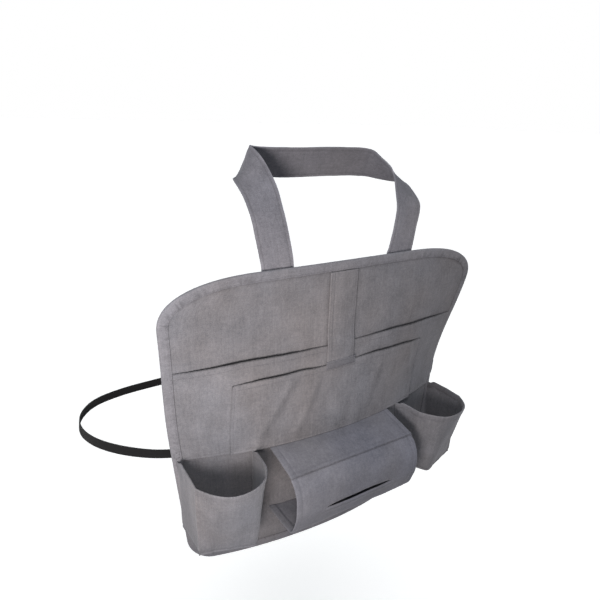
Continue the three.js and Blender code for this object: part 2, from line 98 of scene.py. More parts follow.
def stations(first, last, step, seams=()):
    """Evenly spaced places from first to last, with closer ones at each seam."""
    count = max(1, round(abs(last - first) / step))
    places = [first + (last - first) * k / count for k in range(count + 1)]
    low, high = min(first, last), max(first, last)
    for seam in seams:
        close = [seam + d for d in (-1.1, -0.55, 0.0, 0.55, 1.1)]
        places = [p for p in places if abs(p - seam) > 1.5 or p in (first, last)]
        places += [p for p in close if low < p < high]
    return sorted(set(places), reverse=first > last)


def lay_cloth(name, across, down, place, thickness, finish, closed=False, cut_out=None, edge=0.22):
    """Lays a grid of cloth: place(u, v) gives a point, its tone of paler scuffing, painted shade and
    painted highlights, and its share of thickness.
    """
    bpy.ops.object.select_all(action="DESELECT")
    columns, rows = len(across) - 1, len(down) - 1
    bpy.ops.mesh.primitive_grid_add(x_subdivisions=columns, y_subdivisions=rows, size=2)
    piece = bpy.context.object
    piece.name = piece.data.name = name
    mesh = piece.data
    spots = []
    for vertex in mesh.vertices:
        u = across[round((vertex.co.x + 1.0) / 2.0 * columns)]
        v = down[round((vertex.co.y + 1.0) / 2.0 * rows)]
        spots.append((u, v))
    laid = [place(u, v) for u, v in spots]
    mesh.vertices.foreach_set("co", [c * MM for point, _, _ in laid for c in point])
    chart = [spots[corner.vertex_index] for corner in mesh.loops]
    mesh.uv_layers.active.data.foreach_set("uv", [c * MM for spot in chart for c in spot])
    # This point layer holds paler scuffed edges together with painted shade and painted highlights
    wear_and_shade = mesh.attributes.new("wear_and_shade", "FLOAT", "POINT")
    wear_and_shade.data.foreach_set("value", [scuff_and_shade for _, scuff_and_shade, _ in laid])
    full = piece.vertex_groups.new(name="full")
    for k, (_, _, share) in enumerate(laid):
        full.add([k], share, "REPLACE")
    bpy.ops.object.mode_set(mode="EDIT")
    if cut_out:
        bpy.ops.mesh.select_all(action="DESELECT")
        bpy.ops.object.mode_set(mode="OBJECT")
        for face in mesh.polygons:
            corners = [spots[k] for k in face.vertices]
            middle = [sum(c) / len(corners) for c in zip(*corners)]
            face.select = cut_out(*middle)
        bpy.ops.object.mode_set(mode="EDIT")
        bpy.ops.mesh.select_mode(type="FACE")
        bpy.ops.mesh.delete(type="FACE")
    if closed:
        bpy.ops.mesh.select_all(action="SELECT")
        bpy.ops.mesh.remove_doubles(threshold=1e-6)
    bpy.ops.object.mode_set(mode="OBJECT")
    wall = piece.modifiers.new("wall", "SOLIDIFY")
    wall.thickness = thickness * MM
    wall.offset = 0.0
    wall.vertex_group = "full"
    bpy.ops.object.modifier_apply(modifier="wall")
    if edge:
        soft = piece.modifiers.new("soft edge", "BEVEL")
        soft.width = edge * MM
        soft.segments = 2
        soft.limit_method = "ANGLE"
        soft.angle_limit = math.radians(62)
        bpy.ops.object.modifier_apply(modifier="soft edge")
    bpy.ops.object.shade_smooth_by_angle(angle=math.radians(60))
    mesh.materials.clear()
    mesh.materials.append(finish)
    return piece


def linear(colour):
    """A colour of 0 to 255 a channel, as the shader wants it."""
    shares = [c / 255.0 for c in colour]
    return [s / 12.92 if s < 0.04 else ((s + 0.055) / 1.055) ** 2.4 for s in shares] + [1.0]


def suede(name, warm, cool, streaks=1.0, nap=1.0):
    """Brushed suede cloth: a short nap, long faint streaks down it, and a tone per point that holds paler
    scuffed edges, painted shade and painted highlights.
    """
    finish = bpy.data.materials.new(name)
    finish.use_nodes = True
    tree = finish.node_tree
    shader = tree.nodes["Principled BSDF"]

    def field(source, scale, detail, turn=0.0):
        spread = tree.nodes.new("ShaderNodeMapping")
        spread.inputs["Scale"].default_value = scale
        spread.inputs["Rotation"].default_value = (0.0, 0.0, turn)
        pattern = tree.nodes.new("ShaderNodeTexNoise")
        pattern.inputs["Scale"].default_value = 1.0
        pattern.inputs["Detail"].default_value = detail
        pattern.inputs["Roughness"].default_value = 0.55
        tree.links.new(source, spread.inputs["Vector"])
        tree.links.new(spread.outputs["Vector"], pattern.inputs["Vector"])
        return pattern.outputs["Fac"]

    def summed(start, terms):
        """start plus each field, less its mean of a half, times its weight."""
        total = None
        for source, weight, mean in terms:
            step = tree.nodes.new("ShaderNodeMath")
            step.operation = "MULTIPLY_ADD"
            step.inputs[1].default_value = weight
            tree.links.new(source, step.inputs[0])
            start -= weight * mean
            if total is not None:
                tree.links.new(total, step.inputs[2])
            first = step if total is None else first
            total = step.outputs[0]
        first.inputs[2].default_value = start
        return total

    places = tree.nodes.new("ShaderNodeTexCoord")
    chart, room = places.outputs["UV"], places.outputs["Object"]
    # The tone per point: paler scuffed edges, painted shade and painted highlights
    shade_and_wear = tree.nodes.new("ShaderNodeAttribute")
    shade_and_wear.attribute_name = "wear_and_shade"
    broad_streak = field(chart, (170.0, 7.0, 1.0), 3.0)
    fine_streak = field(chart, (620.0, 40.0, 1.0), 2.0, turn=0.02)
    cross_thread = field(chart, (60.0, 900.0, 1.0), 2.0)
    blotch = field(room, (12.0, 12.0, 12.0), 2.0)
    patch = field(room, (60.0, 60.0, 45.0), 3.0)
    speckle = field(chart, (1150.0, 850.0, 1.0), 2.0)
    mottle = field(chart, (340.0, 230.0, 1.0), 3.0)
    tone = summed(
        1.0,
        [
            (broad_streak, 0.20 * streaks, 0.5),
            (fine_streak, 0.26 * streaks, 0.5),
            (cross_thread, 0.22 * nap, 0.5),
            (blotch, 0.55, 0.5),
            (patch, 0.50, 0.5),
            (mottle, 0.50, 0.5),
            (speckle, 0.85 * nap, 0.5),
            (shade_and_wear.outputs["Fac"], 0.20, 0.0),
        ],
    )
    tint = tree.nodes.new("ShaderNodeMix")
    tint.data_type = "RGBA"
    tint.inputs["A"].default_value = linear(cool)
    tint.inputs["B"].default_value = linear(warm)
    shift = summed(0.5, [(field(room, (8.0, 8.0, 6.0), 2.0), 2.2, 0.5), (mottle, 0.5, 0.5)])
    tree.links.new(shift, tint.inputs["Factor"])
    dyed = tree.nodes.new("ShaderNodeHueSaturation")
    tree.links.new(tint.outputs["Result"], dyed.inputs["Color"])
    tree.links.new(tone, dyed.inputs["Value"])
    tree.links.new(dyed.outputs["Color"], shader.inputs["Base Color"])
    height = summed(
        0.5, [(fine_streak, 0.5 * streaks, 0.5), (cross_thread, 0.35, 0.5), (speckle, 0.8 * nap, 0.5)]
    )
    raised = tree.nodes.new("ShaderNodeBump")
    raised.inputs["Strength"].default_value = 0.55
    raised.inputs["Distance"].default_value = 0.00045
    tree.links.new(height, raised.inputs["Height"])
    tree.links.new(raised.outputs["Normal"], shader.inputs["Normal"])
    shader.inputs["Roughness"].default_value = 0.93
    shader.inputs["Specular IOR Level"].default_value = 0.12
    shader.inputs["Sheen Weight"].default_value = 0.28
    shader.inputs["Sheen Roughness"].default_value = 0.45
    shader.inputs["Sheen Tint"].default_value = (0.8, 0.8, 0.86, 1.0)
    return finish


suede_grey = suede("suede_grey", (123, 119, 121), (114, 116, 124))

# Where the strip, its seams and the pockets' mouths and floor come on the panel
STRIP_HALF = 19.0
STRIP_STITCH = 16.8
STRIP_SEAMS_END = -121.0
TAPE_STITCH = 8.2
FLOOR_SEAM = POCKET_FLOOR + 2.6
UPPER_MOUTH = -99.0
INSIDE_TAPE = 10.3
POCKET_SHADE = 2.3


def lobe(x, outer):
    """1 where a pocket stands open, and 0 at its sewn sides and under the strip."""
    share = (abs(x) - STRIP_HALF) / (outer - STRIP_HALF)
    return min(smooth(share / 0.35), smooth((1.0 - share) / 0.35))


def upper_half(z):
    return half_width(z) - INSIDE_TAPE


def mouth_wave(x, layer):
    """The slight unevenness of a pocket's mouth."""
    long = 1.3 * noise.noise(Vector((x / 48.0, layer, 5.0)))
    short = 0.5 * noise.noise(Vector((x / 15.0, layer, 2.0)))
    return (long + short) * smooth((abs(x) - STRIP_HALF) / 8.0)


def upper_mouth(x):
    return UPPER_MOUTH + 2.6 * lobe(x, upper_half(UPPER_MOUTH)) + mouth_wave(x, 0.0)


def in_pocket(x, z, mouth, outer):
    """1 inside a pocket, where little light gets, and 0 above its mouth."""
    below = smooth((mouth(x) - z + 0.6) / 1.4)
    return below * smooth((outer - abs(x)) / 2.0) * smooth((abs(x) - 18.0) / 2.0)


def panel_x(u, z):
    """Columns stand upright in the middle and close up towards the rounded sides."""
    if abs(u) <= 90.0:
        return u
    share = (abs(u) - 90.0) / (PANEL_HALF - 90.0)
    return math.copysign(90.0 + share * (half_width(z) - 90.0), u)


def panel_place(u, v):
    x = panel_x(u, -v)
    z = -v
    crossed = z > STRIP_SEAMS_END
    upright = bump(abs(x) - STRIP_STITCH, 0.7) if crossed else 0.0
    level = bump(z - FLOOR_SEAM, 0.7)
    groove = max(upright, level)
    beside_strip = bump(abs(x) - STRIP_HALF - 0.5, 2.2) if crossed else 0.0
    inside = in_pocket(x, z, upper_mouth, upper_half(z) + 2.0) if z > -215.0 else 0.0
    # Painted shade in the seams' grooves, a painted shadow beside the strip, and painted shade inside the
    # upper pocket
    shade_and_wear = -0.7 * groove - 0.8 * beside_strip - POCKET_SHADE * inside
    return on_panel(x, z, PANEL_THICKNESS / 2.0), shade_and_wear, 1.0 - 0.3 * groove


panel_rows = [50.0 * (1.0 - math.cos(math.radians(a))) for a in range(0, 46, 5)]
panel_rows += stations(panel_rows[-1] + 3.5, 92.0, 3.6) + stations(92.7, 102.5, 0.7)
panel_rows += stations(106.0, 346.0, 3.6, [-FLOOR_SEAM])
panel_rows += [349.0, 352.0, 354.6, 356.7, 358.3, 359.4, 360.0]
panel = lay_cloth(
    "back_panel_cloth",
    stations(-PANEL_HALF, PANEL_HALF, 3.6, [-20.0, -STRIP_STITCH, STRIP_STITCH, 20.0]),
    panel_rows,
    panel_place,
    PANEL_THICKNESS,
    suede_grey,
)
# The shade inside the pockets is on the front only
shade = panel.data.attributes["wear_and_shade"].data
for vertex in panel.data.vertices:
    if vertex.normal.y > 0.0:
        shade[vertex.index].value = max(shade[vertex.index].value, -0.1)
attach(panel, "root")
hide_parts("back_panel")

# Edge binding. A tape of the same cloth folded over the panel's raw edge all the way
# round and sewn through with one line of stitches, which pulls it into small puckers
# where it goes round the corners.


def rounded_outline():
    """The panel's outline, clockwise from the middle of its top, in even steps."""
    heights = [-25.0 * (1.0 - math.cos(math.radians(a))) for a in range(0, 181, 2)]
    heights += [-50.0 - k * 3.0 for k in range(1, 94)]
    heights += [-332.0 - 28.0 * math.sin(math.radians(a)) for a in range(0, 91, 3)]
    right = [Vector((half_width(z), z)) for z in heights]
    right = [Vector((0.0, 0.0))] + right + [Vector((0.0, -PANEL_HEIGHT))]
    path = right + [Vector((-p.x, p.y)) for p in reversed(right[1:-1])] + [right[0]]
    lengths = [0.0]
    for a, b in zip(path, path[1:]):
        lengths.append(lengths[-1] + (b - a).length)
    count = round(lengths[-1] / 2.3)
    places, k = [], 0
    for i in range(count):
        at = lengths[-1] * i / count
        while lengths[k + 1] < at:
            k += 1
        share = (at - lengths[k]) / (lengths[k + 1] - lengths[k])
        places.append(path[k].lerp(path[k + 1], share))
    return places, lengths[-1]


outline, outline_length = rounded_outline()


def rim(s, into):
    """The place at length s round the outline and a distance into the cloth."""
    count = len(outline)
    k = s / outline_length * count
    low = int(math.floor(k))
    here = outline[low % count].lerp(outline[(low + 1) % count], k - low)
    along = (outline[(low + 3) % count] - outline[(low - 2) % count]).normalized()
    return here + Vector((along.y, -along.x)) * into


def corner_pull(x, z):
    """1 in the rounded corners, where the tape gathers, and 0 along the straight runs."""
    top = smooth((abs(x) - 95.0) / 40.0) * smooth((z + 75.0) / 40.0)
    foot = smooth((abs(x) - 140.0) / 25.0) * smooth((-z - 325.0) / 15.0)
    return max(top, foot)


# The folded section: distance into the cloth, and distance behind the front face
tape_section = [(10.0, -0.36), (9.6, -0.55), (9.0, -0.62), (8.2, -0.5), (7.4, -0.64)]
tape_section += [(6.0, -0.78), (4.4, -0.84), (2.6, -0.82)]
tape_section += [
    (0.9 - 1.65 * math.sin(math.radians(a)), 1.2 - 1.95 * math.cos(math.radians(a)))
    for a in range(0, 181, 20)
]
tape_section += [(2.6, 3.3), (4.4, 3.36), (6.0, 3.3), (7.4, 3.14), (8.2, 2.98), (9.0, 3.12)]
tape_section += [(9.6, 3.04), (10.0, 2.86)]
tape_run = [0.0]
for (a, b), (c, d) in zip(tape_section, tape_section[1:]):
    tape_run.append(tape_run[-1] + math.hypot(c - a, d - b))


def tape_place(u, v):
    into, off = tape_section[tape_run.index(v)]
    x, z = rim(u, into)
    pull = 0.25 + corner_pull(x, z)
    gather = noise.noise(Vector((u / 3.6, into / 9.0, 1.7)))
    gather += 0.6 * noise.noise(Vector((u / 8.0, 4.0, 2.0)))
    reach = smooth((into - 0.5) / 5.0) * smooth((10.4 - into) / 1.2)
    outwards = -1.0 if off < 1.2 else 1.0
    off += outwards * 0.62 * pull * gather * reach
    groove = bump(into - TAPE_STITCH, 0.8)
    # Paler scuffing at the folded outer edge, and painted shade in the stitch groove
    shade_and_wear = 0.5 * bump(off - 1.2, 1.6) * smooth((2.0 - into) / 2.0) - 0.5 * groove
    # Painted shadow: a ragged dark line along the tape's inner edge, and painted shade in the puckers'
    # creases at the corners
    ragged = 1.0 + 0.6 * noise.noise(Vector((u / 5.0, 1.0, 8.0)))
    shade_and_wear -= 2.0 * ragged * bump(into - 10.0, 0.5) + 2.6 * pull * max(gather, 0.0) * reach
    return on_panel(x, z, off), shade_and_wear, 1.0


suede_tape = suede("suede_tape", (130, 127, 131), (123, 124, 132), streaks=0.4)
tape_steps = [outline_length * k / len(outline) for k in range(len(outline) + 1)]
binding = lay_cloth(
    "edge_binding_tape", tape_steps, tape_run, tape_place, 0.6, suede_tape, closed=True, edge=0.16
)
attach(binding, "root")
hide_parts("edge_binding")


def one_stitch(finish):
    """One stitch of thread, which every seam repeats."""
    bpy.ops.object.select_all(action="DESELECT")
    bpy.ops.mesh.primitive_uv_sphere_add(segments=6, ring_count=4, radius=0.5)
    stitch = bpy.context.object
    bpy.ops.object.shade_smooth()
    stitch.data.materials.append(finish)
    return stitch


def sew(name, seams, finish, pitch=3.6, length=2.6, width=0.5):
    """Sews along each seam, a list of places with the way that faces out of the cloth."""
    pattern = one_stitch(finish)
    stitches = []
    for seam in seams:
        lengths = [0.0]
        for (a, _), (b, _) in zip(seam, seam[1:]):
            lengths.append(lengths[-1] + (b - a).length)
        count = max(1, int(lengths[-1] / pitch))
        k = 0
        for i in range(count):
            at = lengths[-1] * (i + 0.5) / count
            while lengths[k + 1] < at:
                k += 1
            share = (at - lengths[k]) / max(lengths[k + 1] - lengths[k], 1e-6)
            middle = seam[k][0].lerp(seam[k + 1][0], share)
            out = seam[k][1].normalized()
            along = (seam[k + 1][0] - seam[k][0]).normalized()
            side = along.cross(out).normalized()
            turned = Matrix((side * width, out * width * 0.8, along * length)).transposed()
            stitch = bpy.data.objects.new(name, pattern.data.copy())
            stitch.data.transform(Matrix.Translation(middle * MM) @ (turned * MM).to_4x4())
            bpy.context.collection.objects.link(stitch)
            stitches.append(stitch)
    bpy.data.objects.remove(pattern)
    bpy.ops.object.select_all(action="DESELECT")
    for stitch in stitches:
        stitch.select_set(True)
    bpy.context.view_layer.objects.active = stitches[0]
    bpy.ops.object.join()
    sewn = bpy.context.object
    sewn.name = sewn.data.name = name
    bpy.ops.object.mode_set(mode="EDIT")
    bpy.ops.mesh.select_all(action="SELECT")
    bpy.ops.mesh.normals_make_consistent(inside=False)
    bpy.ops.object.mode_set(mode="OBJECT")
    return sewn


def on_front(x, z, off):
    """A place off the panel with the way that faces the viewer in front."""
    here = on_panel(x, z, off)
    return here, here - on_panel(x, z, off + 1.0)


def on_back(x, z, off):
    here = on_panel(x, z, off)
    return here, here - on_panel(x, z, off - 1.0)


def thread(name, colour):
    """Matt polyester sewing thread with a faint twist along it."""
    finish = bpy.data.materials.new(name)
    finish.use_nodes = True
    tree = finish.node_tree
    shader = tree.nodes["Principled BSDF"]
    places = tree.nodes.new("ShaderNodeTexCoord")
    twist = tree.nodes.new("ShaderNodeTexNoise")
    twist.inputs["Scale"].default_value = 1400.0
    tree.links.new(places.outputs["Object"], twist.inputs["Vector"])
    spun = tree.nodes.new("ShaderNodeMix")
    spun.data_type = "RGBA"
    spun.inputs["A"].default_value = linear([c * 0.85 for c in colour])
    spun.inputs["B"].default_value = linear([c * 1.12 for c in colour])
    tree.links.new(twist.outputs["Fac"], spun.inputs["Factor"])
    tree.links.new(spun.outputs["Result"], shader.inputs["Base Color"])
    shader.inputs["Roughness"].default_value = 0.7
    shader.inputs["Sheen Weight"].default_value = 0.15
    return finish


grey_thread = thread("grey_thread", (108, 106, 113))
tape_stitches = sew(
    "binding_stitches",
    [
        [on_front(*rim(s, TAPE_STITCH), -0.86) for s in tape_steps],
        [on_back(*rim(s, TAPE_STITCH), 3.32) for s in tape_steps],
    ],
    grey_thread,
)
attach(tape_stitches, "root")

# Upper pocket. One sheet of the same cloth across the whole panel, with a hem turned in
# and sewn along its mouth. Its sides meet the binding, the strip holds it down in the
# middle, and it gapes a little on either side of the strip.

HEM = 6.5
FOLD = 0.37
FRONT_HALF = 136.0
FRONT_MOUTH = -123.0


def over_fold(v, radius):
    """Distance down from a folded edge, and behind the outer leg. Below 0, v runs inside."""
    if v >= 0.0:
        return radius + v, 0.0
    turn = -v / radius
    if turn <= math.pi:
        return radius - radius * math.sin(turn), radius - radius * math.cos(turn)
    return radius - v - math.pi * radius, 2.0 * radius


def hemmed(length, step, leg=8.0, radius=FOLD, seams=()):
    """Stations of a cloth that starts inside, turns over its folded edge and runs down."""
    inside = [-math.pi * radius - leg * k / 4.0 for k in range(4, 0, -1)]
    turn = [-math.pi * radius * k / 6.0 for k in range(6, 0, -1)]
    outside = [0.0, 0.5, 1.2, 2.2, 3.4, 4.6]
    outside += stations(5.3, length, step, seams)
    return inside + turn + outside


def gape_at(x, z, outer, mouth, gape):
    down = (mouth - z) / (mouth - POCKET_FLOOR)
    return gape * lobe(x, outer) * (1.0 - smooth((down - 0.1) / 0.8))


def upper_front(x, z):
    """How far the upper pocket's front lies off the panel."""
    slack = 0.35 * noise.noise(Vector((x / 22.0, 11.0, z / 60.0)))
    return -1.7 - gape_at(x, z, upper_half(z), UPPER_MOUTH, 3.4) - slack * smooth((z + 216.0) / 40.0)


def hem_painted_light(v, x):
    """Painted shade, dark in the open mouth behind the folded edge and a little in the sewn line, with a
    faint painted highlight below the fold.
    """
    mouth = bump(v + 0.6, 0.9) if v > -0.6 else 1.0
    sewn = bump(v - HEM, 0.7) * (0.75 + 0.25 * math.sin(x * 1.745))
    return 0.1 * bump(v - 1.6, 0.9) - 2.4 * mouth - 0.2 * sewn


def front_mouth(x):
    return FRONT_MOUTH + 3.3 * lobe(x, FRONT_HALF) + mouth_wave(x, 9.0)


def upper_place(u, v):
    down, behind = over_fold(v, FOLD)
    z = UPPER_MOUTH - down
    x = u / 203.0 * upper_half(z)
    hung = 1.0 - down / (UPPER_MOUTH - POCKET_FLOOR)
    z += hung * (2.6 * lobe(x, upper_half(z)) + mouth_wave(x, 0.0))
    off = upper_front(x, z) + 0.35 + behind
    off += 0.18 * smooth((v - HEM) / 0.9) + 0.12 * bump(v - HEM, 0.7)
    off += 0.35 * bump(v - (UPPER_MOUTH - FLOOR_SEAM), 1.2)
    shaded = POCKET_SHADE * in_pocket(x, z, front_mouth, FRONT_HALF - 1.0) if v > 0.0 else 0.0
    return on_panel(x, z, off), hem_painted_light(v, x) - shaded, 1.0


upper_length = UPPER_MOUTH - POCKET_FLOOR - FOLD
upper = lay_cloth(
    "upper_pocket_cloth",
    stations(-203.0, 203.0, 2.9),
    hemmed(16.5, 3.4, seams=[HEM])
    + stations(17.2, 29.0, 0.7)
    + stations(32.0, upper_length, 3.4, [UPPER_MOUTH - FLOOR_SEAM]),
    upper_place,
    0.7,
    suede_grey,
    edge=0.16,
)
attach(upper, "root")
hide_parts("upper_pocket")


def along_mouth(first, last, mouth, below, front):
    """A line of places across a pocket's front, a distance below its mouth."""
    xs = stations(first, last, 2.0)
    return [on_front(x, mouth(x) - below, front(x, mouth(x) - below) - 0.05) for x in xs]


upper_stitches = sew(
    "upper_pocket_stitches",
    [
        along_mouth(-201.0, -20.5, upper_mouth, HEM + FOLD, upper_front),
        along_mouth(20.5, 201.0, upper_mouth, HEM + FOLD, upper_front),
    ],
    grey_thread,
)
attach(upper_stitches, "root")

# Front pocket. A narrower sheet on the upper one, hemmed at its mouth like it, with both
# side edges turned under and sewn down. The strip's end holds it in the middle.

SIDE_STITCH = FRONT_HALF - 3.2


def front_front(x, z):
    slack = 0.35 * noise.noise(Vector((x / 19.0, 15.0, z / 55.0)))
    gape = gape_at(x, z, FRONT_HALF, FRONT_MOUTH, 3.0)
    return upper_front(x, z) - 1.7 - gape - slack * smooth((z + 216.0) / 40.0)


def soft_crease(x, z):
    """Shallow folds that years of use leave in the pocket's cloth."""
    total = 0.0
    for x1, z1, x2, z2, deep in (
        (-70.0, -135.0, -104.0, -205.0, 1.5),
        (-30.0, -140.0, -56.0, -202.0, 1.2),
        (62.0, -134.0, 48.0, -190.0, 1.1),
        (112.0, -130.0, 129.0, -182.0, 1.4),
    ):
        share = min(max((z - z1) / (z2 - z1), 0.0), 1.0)
        away = math.hypot(x - (x1 + (x2 - x1) * share), 0.6 * (z - (z1 + (z2 - z1) * share)))
        total += deep * bump(away, 5.5)
    return total


def front_place(u, v):
    down, behind = over_fold(v, FOLD)
    inward, under = over_fold(FRONT_HALF - FOLD - abs(u), FOLD)
    x = math.copysign(FRONT_HALF - inward, u)
    hung = 1.0 - down / (FRONT_MOUTH - POCKET_FLOOR)
    z = FRONT_MOUTH - down + hung * (front_mouth(x) - FRONT_MOUTH)
    off = front_front(x, z) + 0.35 + behind + under
    off += 0.18 * smooth((v - HEM) / 0.9) * smooth((SIDE_STITCH - abs(x)) / 0.9 + 0.2)
    off += 0.12 * max(bump(v - HEM, 0.7), bump(abs(x) - SIDE_STITCH, 0.7))
    off += 0.35 * bump(v - (FRONT_MOUTH - FLOOR_SEAM), 1.2) - soft_crease(x, z)
    # Painted light at the turned-under sides: a faint painted highlight, a dark painted shadow line at the
    # fold and painted shade in the seam's groove
    edge = 0.1 * bump(inward - 0.8, 1.0) - 1.6 * bump(inward, 0.5) - 0.2 * bump(abs(x) - SIDE_STITCH, 0.7)
    # Painted shade beside the creases, and a painted shadow low down just above the sleeve
    shaded = 0.35 * soft_crease(x - 4.0, z) if v > 0.0 else 0.0
    shaded += 0.9 * smooth((-z - 180.0) / 34.0) * smooth((112.0 - abs(x)) / 40.0)
    return on_panel(x, z, off), hem_painted_light(v, x) + edge - shaded, 1.0


def turned_sides(half, step, leg=6.0, radius=FOLD, seams=()):
    """Stations across a cloth whose two side edges are turned under."""
    flat = half - radius
    right = [flat + math.pi * radius * k / 6.0 for k in range(1, 7)]
    right += [flat + math.pi * radius + leg * k / 3.0 for k in range(1, 4)]
    middle = stations(-flat, flat, step, [s for seam in seams for s in (-seam, seam)])
    return [-p for p in reversed(right)] + middle + right


front_length = FRONT_MOUTH - POCKET_FLOOR - FOLD
front = lay_cloth(
    "front_pocket_cloth",
    turned_sides(FRONT_HALF, 2.7, seams=[SIDE_STITCH]),
    hemmed(front_length, 3.2, seams=[HEM, FRONT_MOUTH - FLOOR_SEAM]),
    front_place,
    0.7,
    suede_grey,
    edge=0.16,
)
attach(front, "root")
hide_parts("front_pocket")


def down_side(side):
    zs = stations(FRONT_MOUTH - 2.0, POCKET_FLOOR + 3.0, 2.0)
    return [on_front(side * SIDE_STITCH, z, front_front(side * SIDE_STITCH, z) - 0.02) for z in zs]


front_stitches = sew(
    "front_pocket_stitches",
    [
        along_mouth(-131.0, -22.0, front_mouth, HEM + FOLD, front_front),
        along_mouth(22.0, 131.0, front_mouth, HEM + FOLD, front_front),
        down_side(-1.0),
        down_side(1.0),
        [on_back(x, FLOOR_SEAM, PANEL_THICKNESS + 0.05) for x in stations(-190.0, 190.0, 2.5)],
        [on_back(-SIDE_STITCH, z, PANEL_THICKNESS + 0.1) for z in stations(-125.0, -212.0, 2.5)],
        [on_back(SIDE_STITCH, z, PANEL_THICKNESS + 0.1) for z in stations(-125.0, -212.0, 2.5)],
    ],
    grey_thread,
)
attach(front_stitches, "root")

# Centre strip. A band of cloth with both long edges turned under, sewn down the middle
# from the binding to the front pocket's mouth. It crosses the upper pocket's mouth and
# so parts it in two.

STRIP_TOP = -10.3
STRIP_END = -122.0
STRIP_FOLD = 0.4
STRIP_INNER_STITCH = 13.0


def strip_front(z):
    climbed = smooth((UPPER_MOUTH - z + 13.0) / 12.0)
    return -1.9 - 1.7 * climbed


def strip_place(u, v):
    inward, under = over_fold(STRIP_HALF - STRIP_FOLD - abs(u), STRIP_FOLD)
    x = math.copysign(STRIP_HALF - inward, u)
    z = STRIP_TOP - v
    sewn = max(bump(x + STRIP_INNER_STITCH, 0.7), bump(abs(x) - STRIP_STITCH, 0.6))
    puffed = 0.28 * math.sin(math.pi * min(max((x + STRIP_INNER_STITCH) / 29.0, 0.0), 1.0))
    wave = 0.22 * noise.noise(Vector((x / 14.0, 21.0, z / 17.0)))
    off = strip_front(z) + 0.35 + under + 0.3 * sewn - puffed - wave * (0.0 if under else 1.0)
    off -= 0.25 * bump(x + 16.2, 1.6)
    # Painted light: a faint painted highlight on the left folded edge, a dark painted shadow along the
    # right one, and painted shade in the stitch grooves
    shade_and_wear = (0.1 if x < 0.0 else -1.6) * bump(inward, 0.9) - 0.5 * sewn
    return on_panel(x, z, off), shade_and_wear, 1.0


strip = lay_cloth(
    "centre_strip_cloth",
    turned_sides(STRIP_HALF, 1.6, leg=7.0, radius=STRIP_FOLD, seams=[STRIP_STITCH, STRIP_INNER_STITCH]),
    stations(0.0, STRIP_TOP - STRIP_END, 2.4),
    strip_place,
    0.7,
    suede_grey,
    edge=0.16,
)
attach(strip, "root")
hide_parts("centre_strip")


def down_strip(x):
    return [on_front(x, z, strip_front(z) + 0.02) for z in stations(STRIP_TOP - 1.0, -117.0, 2.0)]


strip_stitches = sew(
    "centre_strip_stitches",
    [
        down_strip(-STRIP_STITCH),
        down_strip(-STRIP_INNER_STITCH),
        down_strip(STRIP_STITCH),
        [on_back(-STRIP_STITCH, z, PANEL_THICKNESS + 0.05) for z in stations(-11.0, -120.0, 2.5)],
        [on_back(STRIP_STITCH, z, PANEL_THICKNESS + 0.05) for z in stations(-11.0, -120.0, 2.5)],
    ],
    grey_thread,
)
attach(strip_stitches, "root")

# Strip tab. A short piece of the binding tape, laid across the strip's lower end to hide
# its raw edge and sewn down all round, through the front pocket's mouth.

TAB_HALF = 20.5
TAB_TOP = -118.5
TAB_HEIGHT = 10.0
TAB_FRONT = -5.1


def tab_place(u, v):
    inward, under = over_fold(TAB_HALF - STRIP_FOLD - abs(u), STRIP_FOLD)
    edge = min(v, TAB_HEIGHT - v)
    round_edge = 0.8 * (1.0 - smooth(edge / 0.9))
    frame_line = max(bump(edge - 1.9, 0.6), bump(inward - 2.0, 0.6) if not under else 0.0)
    x = math.copysign(TAB_HALF - inward, u)
    swell = 0.3 * smooth(edge / 3.5) * smooth(inward / 3.5)
    tilt = 0.35 * x / TAB_HALF
    off = TAB_FRONT + 0.4 + under + round_edge + 0.3 * frame_line - swell
    off += 0.12 * noise.noise(Vector((x / 5.0, 2.0, v / 4.0)))
    # Paler scuffed edges, and painted shade in the groove of the stitched frame
    shade_and_wear = 0.3 * bump(edge, 0.9) + 0.3 * bump(inward, 1.0) - 0.8 * frame_line
    return on_panel(x, TAB_TOP - v + tilt, off), shade_and_wear, 1.0


tab_suede = suede("tab_suede", (108, 106, 110), (102, 103, 111), streaks=0.3)
tab = lay_cloth(
    "strip_tab_tape",
    turned_sides(TAB_HALF, 1.1, leg=4.0, radius=STRIP_FOLD, seams=[TAB_HALF - 2.0]),
    [0.0, 0.3, 0.7, 1.3, 1.9, 2.5, 3.2, 4.1, 5.0, 5.9, 6.8, 7.5, 8.1, 8.7, 9.3, 9.7, 10.0],
    tab_place,
    0.7,
    tab_suede,
    edge=0.16,
)
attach(tab, "root")
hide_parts("strip_tab")
tab_foot = TAB_TOP - TAB_HEIGHT
tab_stitches = sew(
    "strip_tab_stitches",
    [
        [on_front(x, TAB_TOP - 1.9, TAB_FRONT - 0.02) for x in stations(-18.5, 18.5, 2.0)],
        [on_front(x, tab_foot + 1.9, TAB_FRONT - 0.02) for x in stations(-18.5, 18.5, 2.0)],
        [on_front(-18.5, z, TAB_FRONT - 0.02) for z in stations(TAB_TOP - 2.5, tab_foot + 2.5, 2.0)],
        [on_front(18.5, z, TAB_FRONT - 0.02) for z in stations(TAB_TOP - 2.5, tab_foot + 2.5, 2.0)],
    ],
    grey_thread,
    pitch=2.9,
    length=2.1,
)
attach(tab_stitches, "root")

# Sleeve. A top sheet that stands out level from the panel, and a front sheet that
# hangs from its lapped front seam, bulges and turns under to the panel. Both ends are
# open and hemmed, and a long slot with turned-in lips runs across the front.

SLEEVE_SEAM = -216.0
SLEEVE_HALF = 89.5
SLEEVE_REACH = 43.7
SLEEVE_DROP = 11.0
SLEEVE_FOLD = 0.5
SLEEVE_HEM = 7.0


def end_hem(u, half=SLEEVE_HALF, radius=SLEEVE_FOLD):
    """x of a sheet with hemmed ends, how far inside the outer leg it lies, and its edge."""
    inward, inside = over_fold(half - radius - abs(u), radius)
    return math.copysign(half - inward, u), inside, inward


